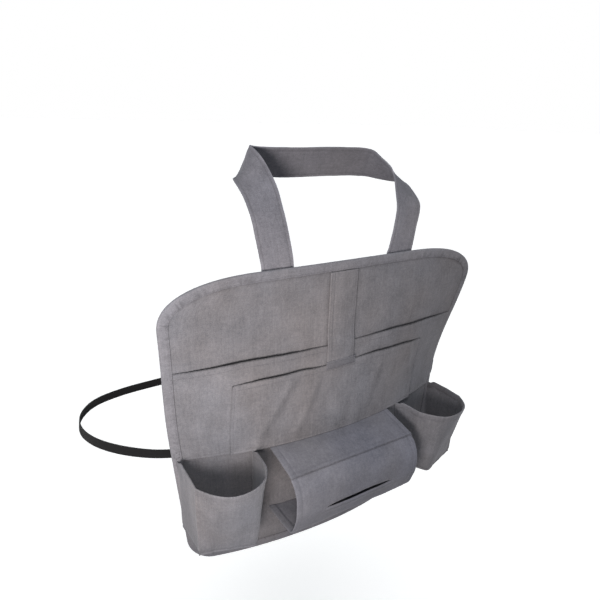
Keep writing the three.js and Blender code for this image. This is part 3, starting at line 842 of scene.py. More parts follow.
def sleeve_top_place(u, v):
    x, inside, inward = end_hem(u)
    out, below = over_fold(v, SLEEVE_FOLD)
    back = on_panel(x, SLEEVE_SEAM, -0.7).y
    length = back + SLEEVE_REACH
    share = min(out / length, 1.0)
    y = -SLEEVE_REACH - 0.6 + (length + 0.6) * share
    z = SLEEVE_SEAM - SLEEVE_DROP * (1.0 - share)
    full = math.sin(math.pi * share) ** 0.7 * smooth((SLEEVE_HALF - abs(x)) / 25.0 + 0.35)
    z += 1.5 * full + 0.7 * noise.noise(Vector((x / 30.0, y / 24.0, 4.0))) * math.sin(math.pi * share)
    lap = bump(v - 4.0, 0.8) if v > 0.0 else 0.0
    hem = bump(inward - SLEEVE_HEM, 0.8) if not inside else 0.0
    z -= 0.45 + inside + below + 0.35 * max(lap, hem) + 0.25 * smooth((v - 4.0) / 1.0)
    # Paler scuffed hemmed ends, and painted shade under the lapped front edge and in the stitch grooves
    shade_and_wear = 0.25 * bump(inward, 1.2) - 1.5 * bump(v + 0.7, 0.8) - 0.5 * lap - 0.4 * hem
    # Painted shade where the top sheet meets the panel
    panel_corner_shade = smooth((out - length + 3.0) / 3.0)
    return Vector((x, y, z)), shade_and_wear - 0.8 * panel_corner_shade, 1.0


blue_suede = suede("blue_grey_suede", (112, 111, 116), (104, 106, 118), streaks=0.35, nap=0.9)
sleeve_top = lay_cloth(
    "sleeve_top_cloth",
    turned_sides(SLEEVE_HALF, 2.6, SLEEVE_HEM, SLEEVE_FOLD, [SLEEVE_HALF - SLEEVE_HEM]),
    hemmed(50.0, 2.2, leg=5.0, radius=SLEEVE_FOLD),
    sleeve_top_place,
    0.85,
    blue_suede,
    edge=0.18,
)
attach(sleeve_top, "root")
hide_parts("sleeve_top")


def curve_at(points, t):
    """The smooth curve through some points, with an equal share of t for each span."""
    spans = len(points) - 1
    k = min(int(t * spans), spans - 1)
    w = t * spans - k
    b, c = points[k], points[k + 1]
    a = points[k - 1] if k > 0 else b * 2.0 - c
    d = points[k + 2] if k + 2 <= spans else c * 2.0 - b
    p, q, r = (max((e - f).length, 1e-6) ** 0.5 for e, f in ((b, a), (c, b), (d, c)))
    leaving = ((b - a) / p - (c - a) / (p + q) + (c - b) / q) * q
    arriving = ((c - b) / q - (d - b) / (q + r) + (d - c) / r) * q
    rest = (c - b) * 3.0 - leaving * 2.0 - arriving
    return b + leaving * w + rest * w**2 + ((b - c) * 2.0 + leaving + arriving) * w**3


def evenly(points, count):
    """The smooth curve through some points, as evenly spaced points."""
    fine = [curve_at(points, k / 600.0) for k in range(601)]
    lengths = [0.0]
    for a, b in zip(fine, fine[1:]):
        lengths.append(lengths[-1] + (b - a).length)
    made, k = [], 0
    for i in range(count):
        at = lengths[-1] * i / (count - 1)
        while k < 599 and lengths[k + 1] < at:
            k += 1
        share = (at - lengths[k]) / max(lengths[k + 1] - lengths[k], 1e-9)
        made.append(fine[k].lerp(fine[k + 1], min(share, 1.0)))
    return made, lengths[-1]


SLOT_HALF = 50.0
SLOT_GAP = 3.0
SLEEVE_FOOT = -304.0
front_top = -228.8
slot_top = -271.0
slot_foot = -277.0


def above_slot(bulged, down):
    return Vector((SLEEVE_REACH + bulged * 15.0, front_top + down * (slot_top - front_top)))


def below_slot(bulged, down):
    return Vector((46.0 + bulged * 12.7, slot_foot + down * (SLEEVE_FOOT - slot_foot)))


profile_points = [above_slot(*p) for p in ((0.0, 0.0), (0.55, 0.19), (0.9, 0.43), (1.0, 0.69))]
profile_points += [above_slot(0.98, 1.0), below_slot(0.92, 0.0), below_slot(0.7, 0.37)]
profile_points += [below_slot(0.32, 0.81), below_slot(0.02, 0.95)]
profile_points += [Vector((34.0, SLEEVE_FOOT)), Vector((15.0, SLEEVE_FOOT)), Vector((0.0, SLEEVE_FOOT))]
profile, profile_length = evenly(profile_points, 121)


def profile_at(v):
    """The sleeve's outer profile at a length below its top edge, and the way out of it."""
    k = min(max(v / profile_length * 120.0, 0.0), 119.999)
    low = int(k)
    here = profile[low].lerp(profile[low + 1], k - low)
    along = (profile[min(low + 2, 120)] - profile[max(low - 1, 0)]).normalized()
    return here, Vector((-along.y, along.x))


slot_line = min(range(121), key=lambda k: abs(profile[k].y + 274.0) + (profile[k].x < 50.0) * 99.0)
slot_v = slot_line / 120.0 * profile_length


def sleeve_front_place(u, v):
    x, inside, inward = end_hem(u)
    middle = 1.0 - min(abs(x) / SLOT_HALF, 1.0) ** 4
    from_slot = v - slot_v
    side = 1.0 if from_slot > 0.0 else -1.0
    gap = 0.2 + (SLOT_GAP - 0.2) * middle
    near = abs(from_slot)
    at = slot_v + side * (gap + (near - 1.0) * (1.0 - gap / 18.0 * (1.0 - smooth((near - 1.0) / 20.0))))
    at = v if near > 24.0 else at
    here, out = profile_at(at)
    lips = smooth((SLOT_HALF + 3.0 - abs(x)) / 3.0)
    turned_in = 1.0 * lips * (1.0 - smooth((near - 1.0) / 1.6))
    slot_sewn = lips * bump(near - 5.2, 0.8)
    hem = bump(inward - SLEEVE_HEM, 0.8) if not inside else 0.0
    soft = 0.9 * noise.noise(Vector((x / 33.0, v / 26.0, 8.0)))
    soft += 0.35 * noise.noise(Vector((x / 12.0, v / 11.0, 3.0)))
    pout = 0.9 * lips * bump(near - 5.0, 4.0)
    held = smooth(v / 8.0) * smooth((profile_length - v) / 18.0)
    off = (soft + pout) * held - 0.5 - inside - turned_in - 0.35 * max(slot_sewn, hem)
    reach = here.x + out.x * off
    z = here.y + out.y * off
    y = -reach
    if at > profile_length - 16.0:
        share = smooth((at - profile_length + 16.0) / 16.0)
        y += (on_panel(x, z, -0.7).y - y) * share
    # Paler scuffed slot lips and ends, and painted shade in the stitch grooves
    shade_and_wear = 0.4 * lips * bump(near - 1.2, 1.2) - 0.4 * slot_sewn + 0.25 * bump(inward, 1.2) - 0.4 * hem
    # Painted shade under the top sheet's lapped edge
    shade_and_wear -= 1.3 * bump(v, 1.2)
    corner = bump(at - (profile_length - 50.0), 3.0)
    return Vector((x, y, z)), shade_and_wear + 0.25 * corner, 1.0


slot_sides = [1.0, 1.5, 2.2, 3.0, 4.0, 5.0, 6.2, 7.6, 9.5]
front_rows = stations(0.0, slot_v - 12.0, 2.6) + [slot_v - s for s in reversed(slot_sides)]
front_rows += [slot_v + s for s in slot_sides] + stations(slot_v + 12.0, profile_length, 2.6)
sleeve_front = lay_cloth(
    "sleeve_front_cloth",
    turned_sides(SLEEVE_HALF, 2.6, SLEEVE_HEM, SLEEVE_FOLD, [SLEEVE_HALF - SLEEVE_HEM]),
    front_rows,
    sleeve_front_place,
    0.85,
    blue_suede,
    cut_out=lambda u, v: abs(u) < SLOT_HALF and abs(v - slot_v) < 0.9,
    edge=0.18,
)
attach(sleeve_front, "root")
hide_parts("sleeve_front")


def on_sleeve(u, v, lift=0.45):
    """A place on the sleeve's front sheet with the way out of it."""
    here = sleeve_front_place(u, v)[0]
    beside = sleeve_front_place(u + 0.6, v)[0] - sleeve_front_place(u - 0.6, v)[0]
    below = sleeve_front_place(u, v + 0.6)[0] - sleeve_front_place(u, v - 0.6)[0]
    out = beside.cross(below).normalized()
    out = out if out.y < 0.0 or out.z < -0.5 else -out
    return here + out * lift, out


def on_sleeve_top(u, v, lift=0.45):
    here = sleeve_top_place(u, v)[0]
    return here + Vector((0.0, 0.0, lift)), Vector((0.0, 0.0, 1.0))


hem_line = SLEEVE_HALF - SLEEVE_HEM
slot_rows = (slot_v - 5.2, slot_v + 5.2)
sleeve_seams = [[on_sleeve(x, row) for x in stations(-52.0, 52.0, 2.0)] for row in slot_rows]
for end in (-1.0, 1.0):
    sleeve_seams.append([on_sleeve(end * 54.5, v) for v in stations(*slot_rows, 1.5)])
    sleeve_seams.append([on_sleeve(end * hem_line, v) for v in stations(3.0, 128.0, 2.0)])
    sleeve_seams.append([on_sleeve_top(end * hem_line, v) for v in stations(5.0, 42.0, 2.0)])
sleeve_seams.append([on_sleeve_top(x, 4.0) for x in stations(-87.0, 87.0, 2.0)])
slate_thread = thread("slate_thread", (95, 94, 104))
sleeve_stitches = sew("tissue_sleeve_stitches", sleeve_seams, slate_thread)
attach(sleeve_stitches, "root")

# Cup pockets. Each wall is one strip of cloth from the binding forward to a crease, then
# round the front and back to the panel. Its rim is hemmed, and its foot is sewn to a flat
# base. The left pocket mirrors the right one, and each has small folds of its own.

CUP_RIM = -211.0
CUP_FLOOR = -303.0
ROUND_CUP = 40.6
CUP_FOLD = 0.42
GUSSET_X = half_width(CUP_RIM) - 3.8
CUP_X = GUSSET_X - ROUND_CUP
CUP_Y = bow(CUP_X, CUP_RIM) - ROUND_CUP
INNER_SEAM_X = CUP_X - ROUND_CUP - 3.2

outer_seam = Vector((GUSSET_X, bow(GUSSET_X, CUP_RIM)))
inner_seam = Vector((INNER_SEAM_X, bow(INNER_SEAM_X, CUP_RIM)))
crease_top = Vector((GUSSET_X + 1.5, CUP_Y - 0.17 * ROUND_CUP))
crease_foot = Vector((crease_top.x - 3.0, -23.0))
round_front = [
    Vector((CUP_X + ROUND_CUP * math.cos(math.radians(a)), CUP_Y + ROUND_CUP * math.sin(math.radians(a))))
    for a in [-25.0 - 155.0 * k / 11.0 for k in range(12)]
]
inner_foot = CUP_X - ROUND_CUP + 14.0
foot_front = [
    crease_foot,
    Vector((CUP_X, -35.0)),
    Vector((inner_foot + 6.0, -41.0)),
    Vector((inner_foot, -35.0)),
    Vector((INNER_SEAM_X + 2.0, 0.0)),
    inner_seam,
]
gusset_rim, gusset_length = evenly([outer_seam, crease_top], 41)
gusset_foot, _ = evenly([outer_seam, crease_foot], 41)
wall_rim, wall_length = evenly([crease_top] + round_front + [inner_seam], 241)
wall_foot, _ = evenly(foot_front, 241)


def cup_plan(u, foot):
    """A place on the rim's or the foot's line, u mm round from the binding."""
    if u < gusset_length:
        line, k = (gusset_foot if foot else gusset_rim), u / gusset_length * 40.0
    else:
        line, k = (wall_foot if foot else wall_rim), (u - gusset_length) / wall_length * 240.0
    low = min(int(k), len(line) - 2)
    return line[low].lerp(line[low + 1], min(k - low, 1.0))


CUP_ROUND = gusset_length + wall_length


def cup_line(u, t):
    return cup_plan(u, False).lerp(cup_plan(u, True), t)


def cup_place(side, u, v):
    down, inside = over_fold(v, CUP_FOLD)
    rim_spot = cup_plan(u, False)
    ahead = bow(rim_spot.x, CUP_RIM) - rim_spot.y
    risen = smooth((ahead - 5.0) / 10.0)
    top = -216.3 * (1.0 - risen) + CUP_RIM * risen
    top += 0.9 * risen * noise.noise(Vector((u / 24.0, 5.0 * side, 1.0)))
    share = min(down / (CUP_RIM - CUP_FLOOR), 1.0)
    z = top + (CUP_FLOOR - top) * share
    here = cup_line(u, share)
    ahead_of = cup_line(min(u + 2.2, CUP_ROUND), share) - cup_line(max(u - 2.2, 0.0), share)
    inwards = Vector((ahead_of.y, -ahead_of.x)).normalized()
    crease = u - gusset_length
    free = smooth(u / 12.0) * smooth((CUP_ROUND - u) / 14.0)
    slack = 0.9 * noise.noise(Vector((u / 24.0, share * 2.0, 9.0 * side))) * smooth(share / 0.25)
    slack += 0.35 * noise.noise(Vector((u / 10.0, share * 3.1, 2.0 * side)))
    fold = bump(crease - 14.0 - 22.0 * share, 7.0)
    slack += 0.4 * fold * smooth(share / 0.2) * smooth((1.0 - share) / 0.3)
    foot_pull = 0.9 * bump(share - 0.975, 0.02)
    sewn = bump(v - HEM, 0.8)
    deep = 0.4 + inside - slack * free * (0.35 + 0.65 * smooth(share / 0.15)) + 0.3 * sewn + foot_pull
    deep += 0.35 * smooth((v - HEM) / 0.9) - 0.6 * bump(crease, 1.6) * smooth(share / 0.05)
    here = here + inwards * deep
    x, y = side * here.x, here.y
    if u < 8.0:
        edge_x = side * (half_width(z) - 2.0 - deep)
        share_in = 1.0 - smooth(u / 8.0)
        x += (edge_x - x) * share_in
        y += (on_panel(x, z, -1.6).y - y) * share_in
    if u > CUP_ROUND - 8.0:
        y += (on_panel(x, z, -1.0).y - y) * smooth((u - CUP_ROUND + 8.0) / 8.0)
    # Paler scuffed rim and crease, painted shade in the stitch groove and inside the pocket behind the rim
    shade_and_wear = 0.3 * bump(v - 0.8, 1.2) - 0.3 * sewn + 0.3 * bump(crease, 1.2) - (1.6 if v < -0.8 else 0.0)
    # A paler scuffed foot edge, and painted shade in the foot's stitch groove
    shade_and_wear += 0.2 * bump(share - 1.0, 0.015) - 0.7 * bump(share - 0.965, 0.01)
    return Vector((x, y, z)), shade_and_wear, 1.0


cup_columns = stations(0.0, gusset_length - 3.0, 2.2)
cup_columns += [gusset_length + d for d in (-2.0, -1.2, -0.5, 0.0, 0.5, 1.2, 2.0)]
cup_columns += stations(gusset_length + 3.5, CUP_ROUND, 2.2)
cup_rows = hemmed(CUP_RIM - CUP_FLOOR - CUP_FOLD - 6.0, 3.0, radius=CUP_FOLD, seams=[HEM])
cup_rows += [CUP_RIM - CUP_FLOOR - CUP_FOLD - d for d in (4.6, 3.6, 2.9, 2.2, 1.4, 0.7, 0.0)]


def cup_base_place(side, u, v):
    """The flat base: u round the wall's foot, v from 0 at the panel to 1 at the wall."""
    wall = cup_place(side, u, CUP_RIM - CUP_FLOOR - CUP_FOLD)[0]
    inner = cup_place(side, CUP_ROUND, CUP_RIM - CUP_FLOOR - CUP_FOLD)[0].x
    outer = cup_place(side, 0.0, CUP_RIM - CUP_FLOOR - CUP_FOLD)[0].x
    x = outer + (inner - outer) * (u / CUP_ROUND)
    back = on_panel(x, CUP_FLOOR, -1.5).y
    centre = Vector((side * CUP_X, CUP_Y + 8.0))
    spot = Vector((x, back)).lerp(Vector((wall.x, wall.y)), v)
    spot += (centre - spot).normalized() * 0.9 * smooth(v * 4.0 - 3.0)
    sag = 0.8 * math.sin(math.pi * v) + 0.4 * noise.noise(Vector((spot.x / 15.0, spot.y / 15.0, 6.0)))
    # Painted shade along the base's edge at the wall
    return Vector((spot.x, spot.y, CUP_FLOOR + 0.9 - sag * 0.6)), -0.3 * bump(v - 1.0, 0.1), 1.0


for side, word in ((-1.0, "left"), (1.0, "right")):
    wall = lay_cloth(
        f"cup_pocket_{word}_wall",
        cup_columns,
        cup_rows,
        lambda u, v, side=side: cup_place(side, u, v),
        0.8,
        suede_grey,
        edge=0.18,
    )
    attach(wall, "root")
    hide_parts(f"cup_wall_{word}")
    base = lay_cloth(
        f"cup_pocket_{word}_base",
        stations(2.0, CUP_ROUND - 2.0, 4.0),
        [k / 12.0 for k in range(13)],
        lambda u, v, side=side: cup_base_place(side, u, v),
        1.1,
        blue_suede,
    )
    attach(base, "root")
    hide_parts(f"cup_base_{word}")

    def on_wall(u, v, side=side):
        here = cup_place(side, u, v)[0]
        beside = cup_place(side, u + 0.6, v)[0] - cup_place(side, u - 0.6, v)[0]
        out = beside.cross(Vector((0.0, 0.0, 1.0))).normalized() * side
        centre = Vector((side * CUP_X, CUP_Y, here.z))
        out = out if out.dot(here - centre) > 0.0 else -out
        return here + out * 0.42, out

    foot_line = CUP_RIM - CUP_FLOOR - CUP_FOLD - 3.2
    wall_stitches = sew(
        f"cup_pocket_{word}_stitches",
        [
            [on_wall(u, HEM) for u in stations(2.0, CUP_ROUND - 3.0, 2.0)],
            [on_wall(u, foot_line) for u in stations(4.0, CUP_ROUND - 4.0, 2.0)],
        ],
        grey_thread,
    )
    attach(wall_stitches, "root")

# Hanging band. A long tube of the cloth pressed flat to a 38 mm band, with a line of
# stitches along both edges. Each leg rises from behind the panel and turns over on
# itself, and a level run on edge joins the two.

BAND_WIDTH = 38.0
BAND_THICKNESS = 1.8
BAND_HALF = BAND_WIDTH / 2.0
LEG_X = 83.5
LEG_INNER = LEG_X - BAND_HALF
LEG_BACK = 4.8
SETBACK = 72.0
RUN_HEIGHT = 101.0
RUN_LEAN = 17.0

# Each place is in band widths out from the leg's inner edge, in setbacks and in heights of
# the level run, first for the band's inner or upper edge and then for the other one
left_turn = [
    ((0.0, 0.072, 0.03), (1.0, 0.081, 0.03)),
    ((0.105, 0.111, 0.288), (1.105, 0.125, 0.306)),
    ((0.21, 0.195, 0.564), (1.21, 0.21, 0.564)),
    ((0.263, 0.306, 0.772), (1.263, 0.402, 0.742)),
    ((0.33, 0.472, 0.93), (1.237, 0.625, 0.832)),
    ((0.447, 0.653, 1.09), (1.132, 0.833, 0.857)),
    ((0.575, 0.896, 1.187), (0.666, 1.154, 0.861)),
    ((0.468, 0.91, 1.18), (0.316, 1.191, 0.867)),
    ((0.206, 0.896, 1.173), (-0.063, 1.177, 0.872)),
]
right_turn = [
    ((0.08, 0.072, 0.028), (1.07, 0.1, -0.005)),
    ((0.28, 0.104, 0.29), (1.27, 0.146, 0.25)),
    ((0.455, 0.181, 0.562), (1.45, 0.2, 0.525)),
    ((0.61, 0.306, 0.732), (1.56, 0.463, 0.677)),
    ((0.72, 0.46, 0.865), (1.585, 0.7, 0.75)),
    ((0.64, 0.65, 0.98), (1.34, 0.87, 0.742)),
    ((0.37, 0.86, 1.112), (0.72, 1.105, 0.79)),
    ((0.1, 0.896, 1.15), (0.3, 1.126, 0.815)),
]


def half_band(side, turn):
    """The places along one half of the band, from its sewn end to the level run."""
    edges = []
    for z in (-30.0, -8.1):
        edges.append([on_panel(side * x, z, LEG_BACK) for x in (LEG_INNER, LEG_INNER + BAND_WIDTH)])
    for pair in turn:
        edges.append(
            [Vector((side * (LEG_INNER + x * BAND_WIDTH), y * SETBACK, z * RUN_HEIGHT)) for x, y, z in pair]
        )
    edges.append(level_run(side * (LEG_INNER - 0.66 * BAND_WIDTH)))
    return edges


def level_run(x):
    rise = math.sqrt(BAND_WIDTH**2 - RUN_LEAN**2)
    return [Vector((x, SETBACK - up * RUN_LEAN, RUN_HEIGHT + up * rise)) for up in (0.5, -0.5)]


band_run = half_band(-1.0, left_turn) + [level_run(0.0)] + half_band(1.0, right_turn)[::-1]
band_middles = [(inner + outer) / 2.0 for inner, outer in band_run]
band_acrosses = [(outer - inner).normalized() for inner, outer in band_run]

BAND_STEPS = 1200
band_spots = [curve_at(band_middles, k / BAND_STEPS) for k in range(BAND_STEPS + 1)]
band_lengths = [0.0]
for a, b in zip(band_spots, band_spots[1:]):
    band_lengths.append(band_lengths[-1] + (b - a).length)
BAND_LENGTH = band_lengths[-1]


def band_frame(v):
    """Middle, width direction and face direction of the band at a length along it."""
    v = min(max(v, 0.0), BAND_LENGTH)
    low, high = 0, BAND_STEPS
    while high - low > 1:
        mid = (low + high) // 2
        low, high = (mid, high) if band_lengths[mid] <= v else (low, mid)
    share = (v - band_lengths[low]) / max(band_lengths[high] - band_lengths[low], 1e-9)
    t = (low + share) / BAND_STEPS
    along = curve_at(band_middles, min(t + 0.001, 1.0)) - curve_at(band_middles, max(t - 0.001, 0.0))
    along = along.normalized()
    across = curve_at(band_acrosses, t)
    across = (across - along * across.dot(along)).normalized()
    return curve_at(band_middles, t), across, across.cross(along).normalized()


BAND_STITCH = 15.4


def band_place(u, v):
    middle, across, out = band_frame(v)
    sewn = bump(abs(u) - BAND_STITCH, 0.7)
    free = smooth(v / 45.0) * smooth((BAND_LENGTH - v) / 45.0)
    wave = 0.7 * noise.noise(Vector((u / 26.0, v / 34.0, 12.0)))
    wave += 0.25 * noise.noise(Vector((u / 8.0, v / 13.0, 5.0)))
    curled_edge = noise.noise(Vector((math.copysign(3.0, u), v / 40.0, 1.0)))
    curl = 0.5 * (abs(u) / BAND_HALF) ** 3 * curled_edge
    point = middle + across * u + out * (wave + curl) * free
    # Paler scuffed edges, and painted shade in the stitch grooves
    edge = bump(abs(u) - BAND_HALF, 1.3)
    return point, 0.8 * edge - 0.7 * sewn, 1.0 - 0.34 * sewn


band_columns = stations(-18.3, 18.3, 1.9, [-BAND_STITCH, BAND_STITCH])
band_columns = [-BAND_HALF, -18.7] + band_columns + [18.7, BAND_HALF]
band_suede = suede("band_suede", (132, 129, 134), (125, 125, 134), streaks=0.6)
band = lay_cloth(
    "hanging_band_cloth",
    band_columns,
    stations(0.0, BAND_LENGTH, 2.4),
    band_place,
    BAND_THICKNESS,
    band_suede,
    edge=0.55,
)
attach(band, "root")
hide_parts("hanging_band")


def along_band(u, face, first, last):
    seam = []
    for v in stations(first, last, 2.0):
        out = band_frame(v)[2] * face
        seam.append((band_place(u, v)[0] + out * 0.62, out))
    return seam


band_stitches = sew(
    "hanging_band_stitches",
    [
        along_band(u, face, 2.0, BAND_LENGTH - 2.0)
        for u in (-BAND_STITCH, BAND_STITCH)
        for face in (-1.0, 1.0)
    ],
    grey_thread,
)
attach(band_stitches, "root")

# Band patches. A small piece of tape cloth over each sewn end of the band, behind the
# panel. It is pressed down beside the band and sewn in a box with a cross in it.

PATCH_HALF = 23.0
PATCH_TOP = -10.0
PATCH_HEIGHT = 24.0
BOX_HALF = 16.5
BOX_TOP = 3.5
BOX_FOOT = 18.0


def patch_off(across, v):
    """How far the patch lies behind the panel's front: over the band, down beside it."""
    beside = smooth((abs(across) - 18.6) / 3.2)
    below = smooth((v - 20.4) / 2.6)
    return 6.45 - 2.9 * beside - 2.2 * max(below - beside, 0.0)


def patch_sewn(across, v):
    """1 on the box of stitches and on the cross in it."""
    box = max(bump(abs(across) - BOX_HALF, 0.7), bump(v - BOX_TOP, 0.7), bump(v - BOX_FOOT, 0.7))
    if abs(across) > BOX_HALF + 1.0 or not BOX_TOP - 1.0 < v < BOX_FOOT + 1.0:
        box = 0.0
    cross = bump(abs(abs(across) / BOX_HALF - abs(v - 10.75) / 7.25), 0.06)
    return max(box, cross if abs(across) < BOX_HALF and BOX_TOP < v < BOX_FOOT else 0.0)


def patch_place(side, u, v):
    sewn = patch_sewn(u, v)
    edge = min(PATCH_HALF - abs(u), v, PATCH_HEIGHT - v)
    off = patch_off(u, v) + 0.35 * smooth(edge / 2.5) - 0.3 * sewn - 0.3 * (1.0 - smooth(edge / 0.6))
    # Paler scuffed edges, and painted shade in the grooves of the stitched box and cross
    return on_panel(side * LEG_X + u, PATCH_TOP - v, off), 0.8 * bump(edge, 0.8) - 0.7 * sewn, 1.0


for side, word in ((-1.0, "left"), (1.0, "right")):
    patch = lay_cloth(
        f"band_patch_{word}_cloth",
        stations(-PATCH_HALF, PATCH_HALF, 0.9),
        stations(0.0, PATCH_HEIGHT, 0.9),
        lambda u, v, side=side: patch_place(side, u, v),
        0.8,
        suede_tape,
    )
    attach(patch, "root")
    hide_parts(f"band_patch_{word}")

    def on_patch(u, v, side=side):
        return on_back(side * LEG_X + u, PATCH_TOP - v, patch_off(u, v) + 0.5)

    corners = [(-BOX_HALF, BOX_TOP), (BOX_HALF, BOX_TOP), (BOX_HALF, BOX_FOOT), (-BOX_HALF, BOX_FOOT)]
    box_and_cross = []
    for first, last in ((0, 1), (1, 2), (2, 3), (3, 0), (0, 2), (1, 3)):
        (a, b), (c, d) = corners[first], corners[last]
        box_and_cross.append([on_patch(a + (c - a) * k / 12.0, b + (d - b) * k / 12.0) for k in range(13)])
    patch_stitches = sew(f"band_patch_{word}_stitches", box_and_cross, grey_thread, pitch=3.0, length=2.2)
    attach(patch_stitches, "root")

# Elastic loop. Woven black elastic, 11 mm wide and ribbed along its length, sewn behind
# both side edges of the panel with a small box of stitches.

ELASTIC_WIDTH = 11.0
ELASTIC_HEIGHT = -209.0
ELASTIC_DEPTH = 210.0
EDGE_X = half_width(ELASTIC_HEIGHT)
elastic_edge = on_panel(EDGE_X, ELASTIC_HEIGHT, 4.6)
half_loop = [on_panel(EDGE_X - d, ELASTIC_HEIGHT, 4.6) for d in (18.0, 9.0, 0.0)]
half_loop += [
    Vector((EDGE_X + out * 76.6, elastic_edge.y + back * (ELASTIC_DEPTH - elastic_edge.y), ELASTIC_HEIGHT))
    for out, back in ((0.26, 0.07), (0.65, 0.226), (0.9, 0.39), (1.0, 0.56), (0.92, 0.736))
    + ((0.65, 0.883), (0.19, 0.96))
]
half_loop += [Vector((0.73 * EDGE_X, 0.993 * ELASTIC_DEPTH, ELASTIC_HEIGHT))]
half_loop += [Vector((0.0, ELASTIC_DEPTH, ELASTIC_HEIGHT))]
loop_points = half_loop + [Vector((-p.x, p.y, p.z)) for p in reversed(half_loop[:-1])]
loop, LOOP_LENGTH = evenly(loop_points, 901)


def elastic_at(v):
    k = min(max(v / LOOP_LENGTH * 900.0, 0.0), 899.999)
    low = int(k)
    along = (loop[min(low + 2, 900)] - loop[max(low - 1, 0)]).normalized()
    return loop[low].lerp(loop[low + 1], k - low), Vector((along.y, -along.x, 0.0)).normalized()


def elastic_place(u, v):
    here, out = elastic_at(v)
    free = smooth((v - 22.0) / 60.0) * smooth((LOOP_LENGTH - v - 22.0) / 60.0)
    twist = 0.16 * math.sin(v / 190.0) * free
    sag = 1.8 * free * noise.noise(Vector((v / 170.0, 2.0, 0.0)))
    point = here + Vector((0.0, 0.0, u * math.cos(twist) + sag)) + out * (u * math.sin(twist))
    rib = 0.5 + 0.5 * math.cos(u * math.pi * 2.0 / 1.375)
    return point, 0.9 * rib - 0.4, 0.74 + 0.26 * rib


def woven_elastic(name, colour):
    """Ribbed black elastic with short cross threads and dusty ribs."""
    finish = bpy.data.materials.new(name)
    finish.use_nodes = True
    tree = finish.node_tree
    shader = tree.nodes["Principled BSDF"]
    places = tree.nodes.new("ShaderNodeTexCoord")
    weft = tree.nodes.new("ShaderNodeTexWave")
    weft.bands_direction = "Y"
    weft.inputs["Scale"].default_value = 420.0
    weft.inputs["Distortion"].default_value = 1.2
    weft.inputs["Detail"].default_value = 2.0
    tree.links.new(places.outputs["UV"], weft.inputs["Vector"])
    shade_and_wear = tree.nodes.new("ShaderNodeAttribute")
    shade_and_wear.attribute_name = "wear_and_shade"
    lift = tree.nodes.new("ShaderNodeMath")
    lift.operation = "MULTIPLY_ADD"
    lift.inputs[1].default_value = 0.5
    tree.links.new(weft.outputs["Fac"], lift.inputs[0])
    tree.links.new(shade_and_wear.outputs["Fac"], lift.inputs[2])
    dyed = tree.nodes.new("ShaderNodeMix")
    dyed.data_type = "RGBA"
    dyed.inputs["A"].default_value = linear([c * 0.6 for c in colour])
    dyed.inputs["B"].default_value = linear([c * 1.5 for c in colour])
    tree.links.new(lift.outputs[0], dyed.inputs["Factor"])
    tree.links.new(dyed.outputs["Result"], shader.inputs["Base Color"])
    raised = tree.nodes.new("ShaderNodeBump")
    raised.inputs["Strength"].default_value = 0.6
    raised.inputs["Distance"].default_value = 0.0003
    tree.links.new(weft.outputs["Fac"], raised.inputs["Height"])
    tree.links.new(raised.outputs["Normal"], shader.inputs["Normal"])
    shader.inputs["Roughness"].default_value = 0.75
    shader.inputs["Specular IOR Level"].default_value = 0.2
    shader.inputs["Sheen Weight"].default_value = 0.06
    return finish


black_elastic = woven_elastic("black_elastic", (18, 18, 20))
elastic = lay_cloth(
    "elastic_loop_woven",
    [ELASTIC_WIDTH * (k / 32.0 - 0.5) for k in range(33)],
    stations(0.0, LOOP_LENGTH, 3.2),
    elastic_place,
    1.4,
    black_elastic,
    edge=0.3,
)
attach(elastic, "root")
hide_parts("elastic_loop")


def box_seam(side, place, inner, outer):
    """A box of stitches round the sewn end of the elastic."""
    x1, x2 = side * (EDGE_X - inner), side * (EDGE_X - outer)
    low, high = ELASTIC_HEIGHT - 4.0, ELASTIC_HEIGHT + 4.0
    spots = [(x1, low), (x2, low), (x2, high), (x1, high), (x1, low)]
    seams = []
    for (a, b), (c, d) in zip(spots, spots[1:]):
        seams.append([place(a + (c - a) * k / 8.0, b + (d - b) * k / 8.0) for k in range(9)])
    return seams


black_thread = thread("black_thread", (40, 39, 43))
elastic_seams = []
for side in (-1.0, 1.0):
    elastic_seams += box_seam(side, lambda x, z: on_back(x, z, 5.35), 16.0, 4.0)
    elastic_seams += box_seam(side, lambda x, z: on_front(x, z, -1.45), 7.2, 2.0)
elastic_stitches = sew("elastic_stitches", elastic_seams, black_thread, pitch=2.8, length=2.2)
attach(elastic_stitches, "root")

# Studio. A pale floor well below the hung object, a white surround that only the camera
# sees as bright, one near lamp from the left in front, and two broad weak ones, from
# above and from behind.

bpy.ops.object.select_all(action="DESELECT")
bpy.ops.mesh.primitive_plane_add(size=90.0, location=(0.0, 0.0, -0.95))
floor = bpy.context.object
floor.name = "studio_floor"
floor_finish = bpy.data.materials.new("floor_paper")
floor_finish.use_nodes = True
paper = floor_finish.node_tree
paper_shader = paper.nodes["Principled BSDF"]
paper_shader.inputs["Roughness"].default_value = 0.95
paper_shader.inputs["Specular IOR Level"].default_value = 0.0
seen_floor = paper.nodes.new("ShaderNodeLightPath")
paper_tone = paper.nodes.new("ShaderNodeMix")
paper_tone.data_type = "RGBA"
paper_tone.inputs["A"].default_value = (0.35, 0.35, 0.36, 1.0)
paper_tone.inputs["B"].default_value = (1.0, 1.0, 1.0, 1.0)
paper.links.new(seen_floor.outputs["Is Camera Ray"], paper_tone.inputs["Factor"])
paper.links.new(paper_tone.outputs["Result"], paper_shader.inputs["Base Color"])
glow = paper.nodes.new("ShaderNodeMath")
glow.operation = "MULTIPLY"
glow.inputs[1].default_value = 0.4
paper.links.new(seen_floor.outputs["Is Camera Ray"], glow.inputs[0])
paper.links.new(glow.outputs[0], paper_shader.inputs["Emission Strength"])
floor.data.materials.append(floor_finish)

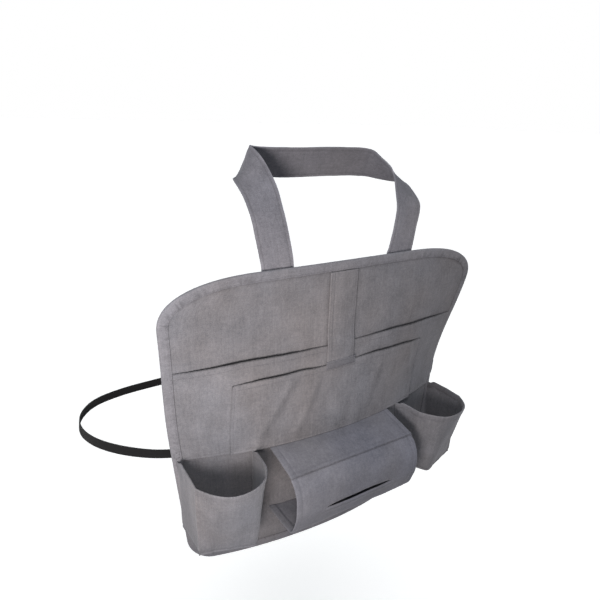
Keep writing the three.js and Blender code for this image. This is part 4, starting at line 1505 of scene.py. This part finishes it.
world = bpy.data.worlds.new("studio")
bpy.context.scene.world = world
world.use_nodes = True
sky = world.node_tree
for old in list(sky.nodes):
    sky.nodes.remove(old)
out = sky.nodes.new("ShaderNodeOutputWorld")
seen = sky.nodes.new("ShaderNodeBackground")
seen.inputs["Color"].default_value = (1.0, 1.0, 1.0, 1.0)
seen.inputs["Strength"].default_value = 1.0
fill = sky.nodes.new("ShaderNodeBackground")
fill.inputs["Color"].default_value = (0.89, 0.955, 1.0, 1.0)
fill.inputs["Strength"].default_value = 0.27
rays = sky.nodes.new("ShaderNodeLightPath")
glossy = sky.nodes.new("ShaderNodeMath")
glossy.operation = "MAXIMUM"
through = sky.nodes.new("ShaderNodeMath")
through.operation = "MAXIMUM"
choose = sky.nodes.new("ShaderNodeMixShader")
sky.links.new(rays.outputs["Is Camera Ray"], glossy.inputs[0])
sky.links.new(rays.outputs["Is Glossy Ray"], glossy.inputs[1])
sky.links.new(glossy.outputs[0], through.inputs[0])
sky.links.new(rays.outputs["Is Transmission Ray"], through.inputs[1])
sky.links.new(through.outputs[0], choose.inputs["Fac"])
sky.links.new(fill.outputs[0], choose.inputs[1])
sky.links.new(seen.outputs[0], choose.inputs[2])
sky.links.new(choose.outputs[0], out.inputs["Surface"])


LIT = Vector((-0.14, 0.0, -0.11))


def lamp(name, kind, place, energy, colour):
    """A lamp at a place that shines at the panel, a little to the left of its middle."""
    light = bpy.data.lights.new(name, kind)
    light.energy = energy
    light.color = colour
    stand = bpy.data.objects.new(name, light)
    stand.location = place
    stand.rotation_euler = (LIT - stand.location).to_track_quat("-Z", "Y").to_euler()
    bpy.context.collection.objects.link(stand)
    return light


window = lamp("window_lamp", "SPOT", Vector((-0.42, -0.40, -0.10)), 13.0, (1.0, 0.94, 0.893))
window.shadow_soft_size = 0.10
window.spot_size = math.radians(84.0)
window.spot_blend = 1.0
ceiling = lamp("ceiling_lamp", "SUN", Vector((-0.5, -0.55, 1.3)), 1.25, (1.0, 0.99, 0.98))
ceiling.angle = math.radians(30.0)
back = lamp("back_lamp", "SUN", Vector((0.25, 0.95, 0.0)), 0.9, (0.96, 0.98, 1.0))
back.angle = math.radians(60.0)

eye = bpy.data.cameras.new("camera")
eye.lens = 31.794
eye.sensor_width = 36.0
eye.clip_start = 0.01
camera = bpy.data.objects.new("camera", eye)
camera.location = (-0.35005, -0.45506, 0.15591)
camera.rotation_euler = [math.radians(a) for a in (70.4046, -1.8038, -32.0390)]
bpy.context.collection.objects.link(camera)
bpy.context.scene.camera = camera
bpy.context.scene.view_settings.view_transform = "Standard"
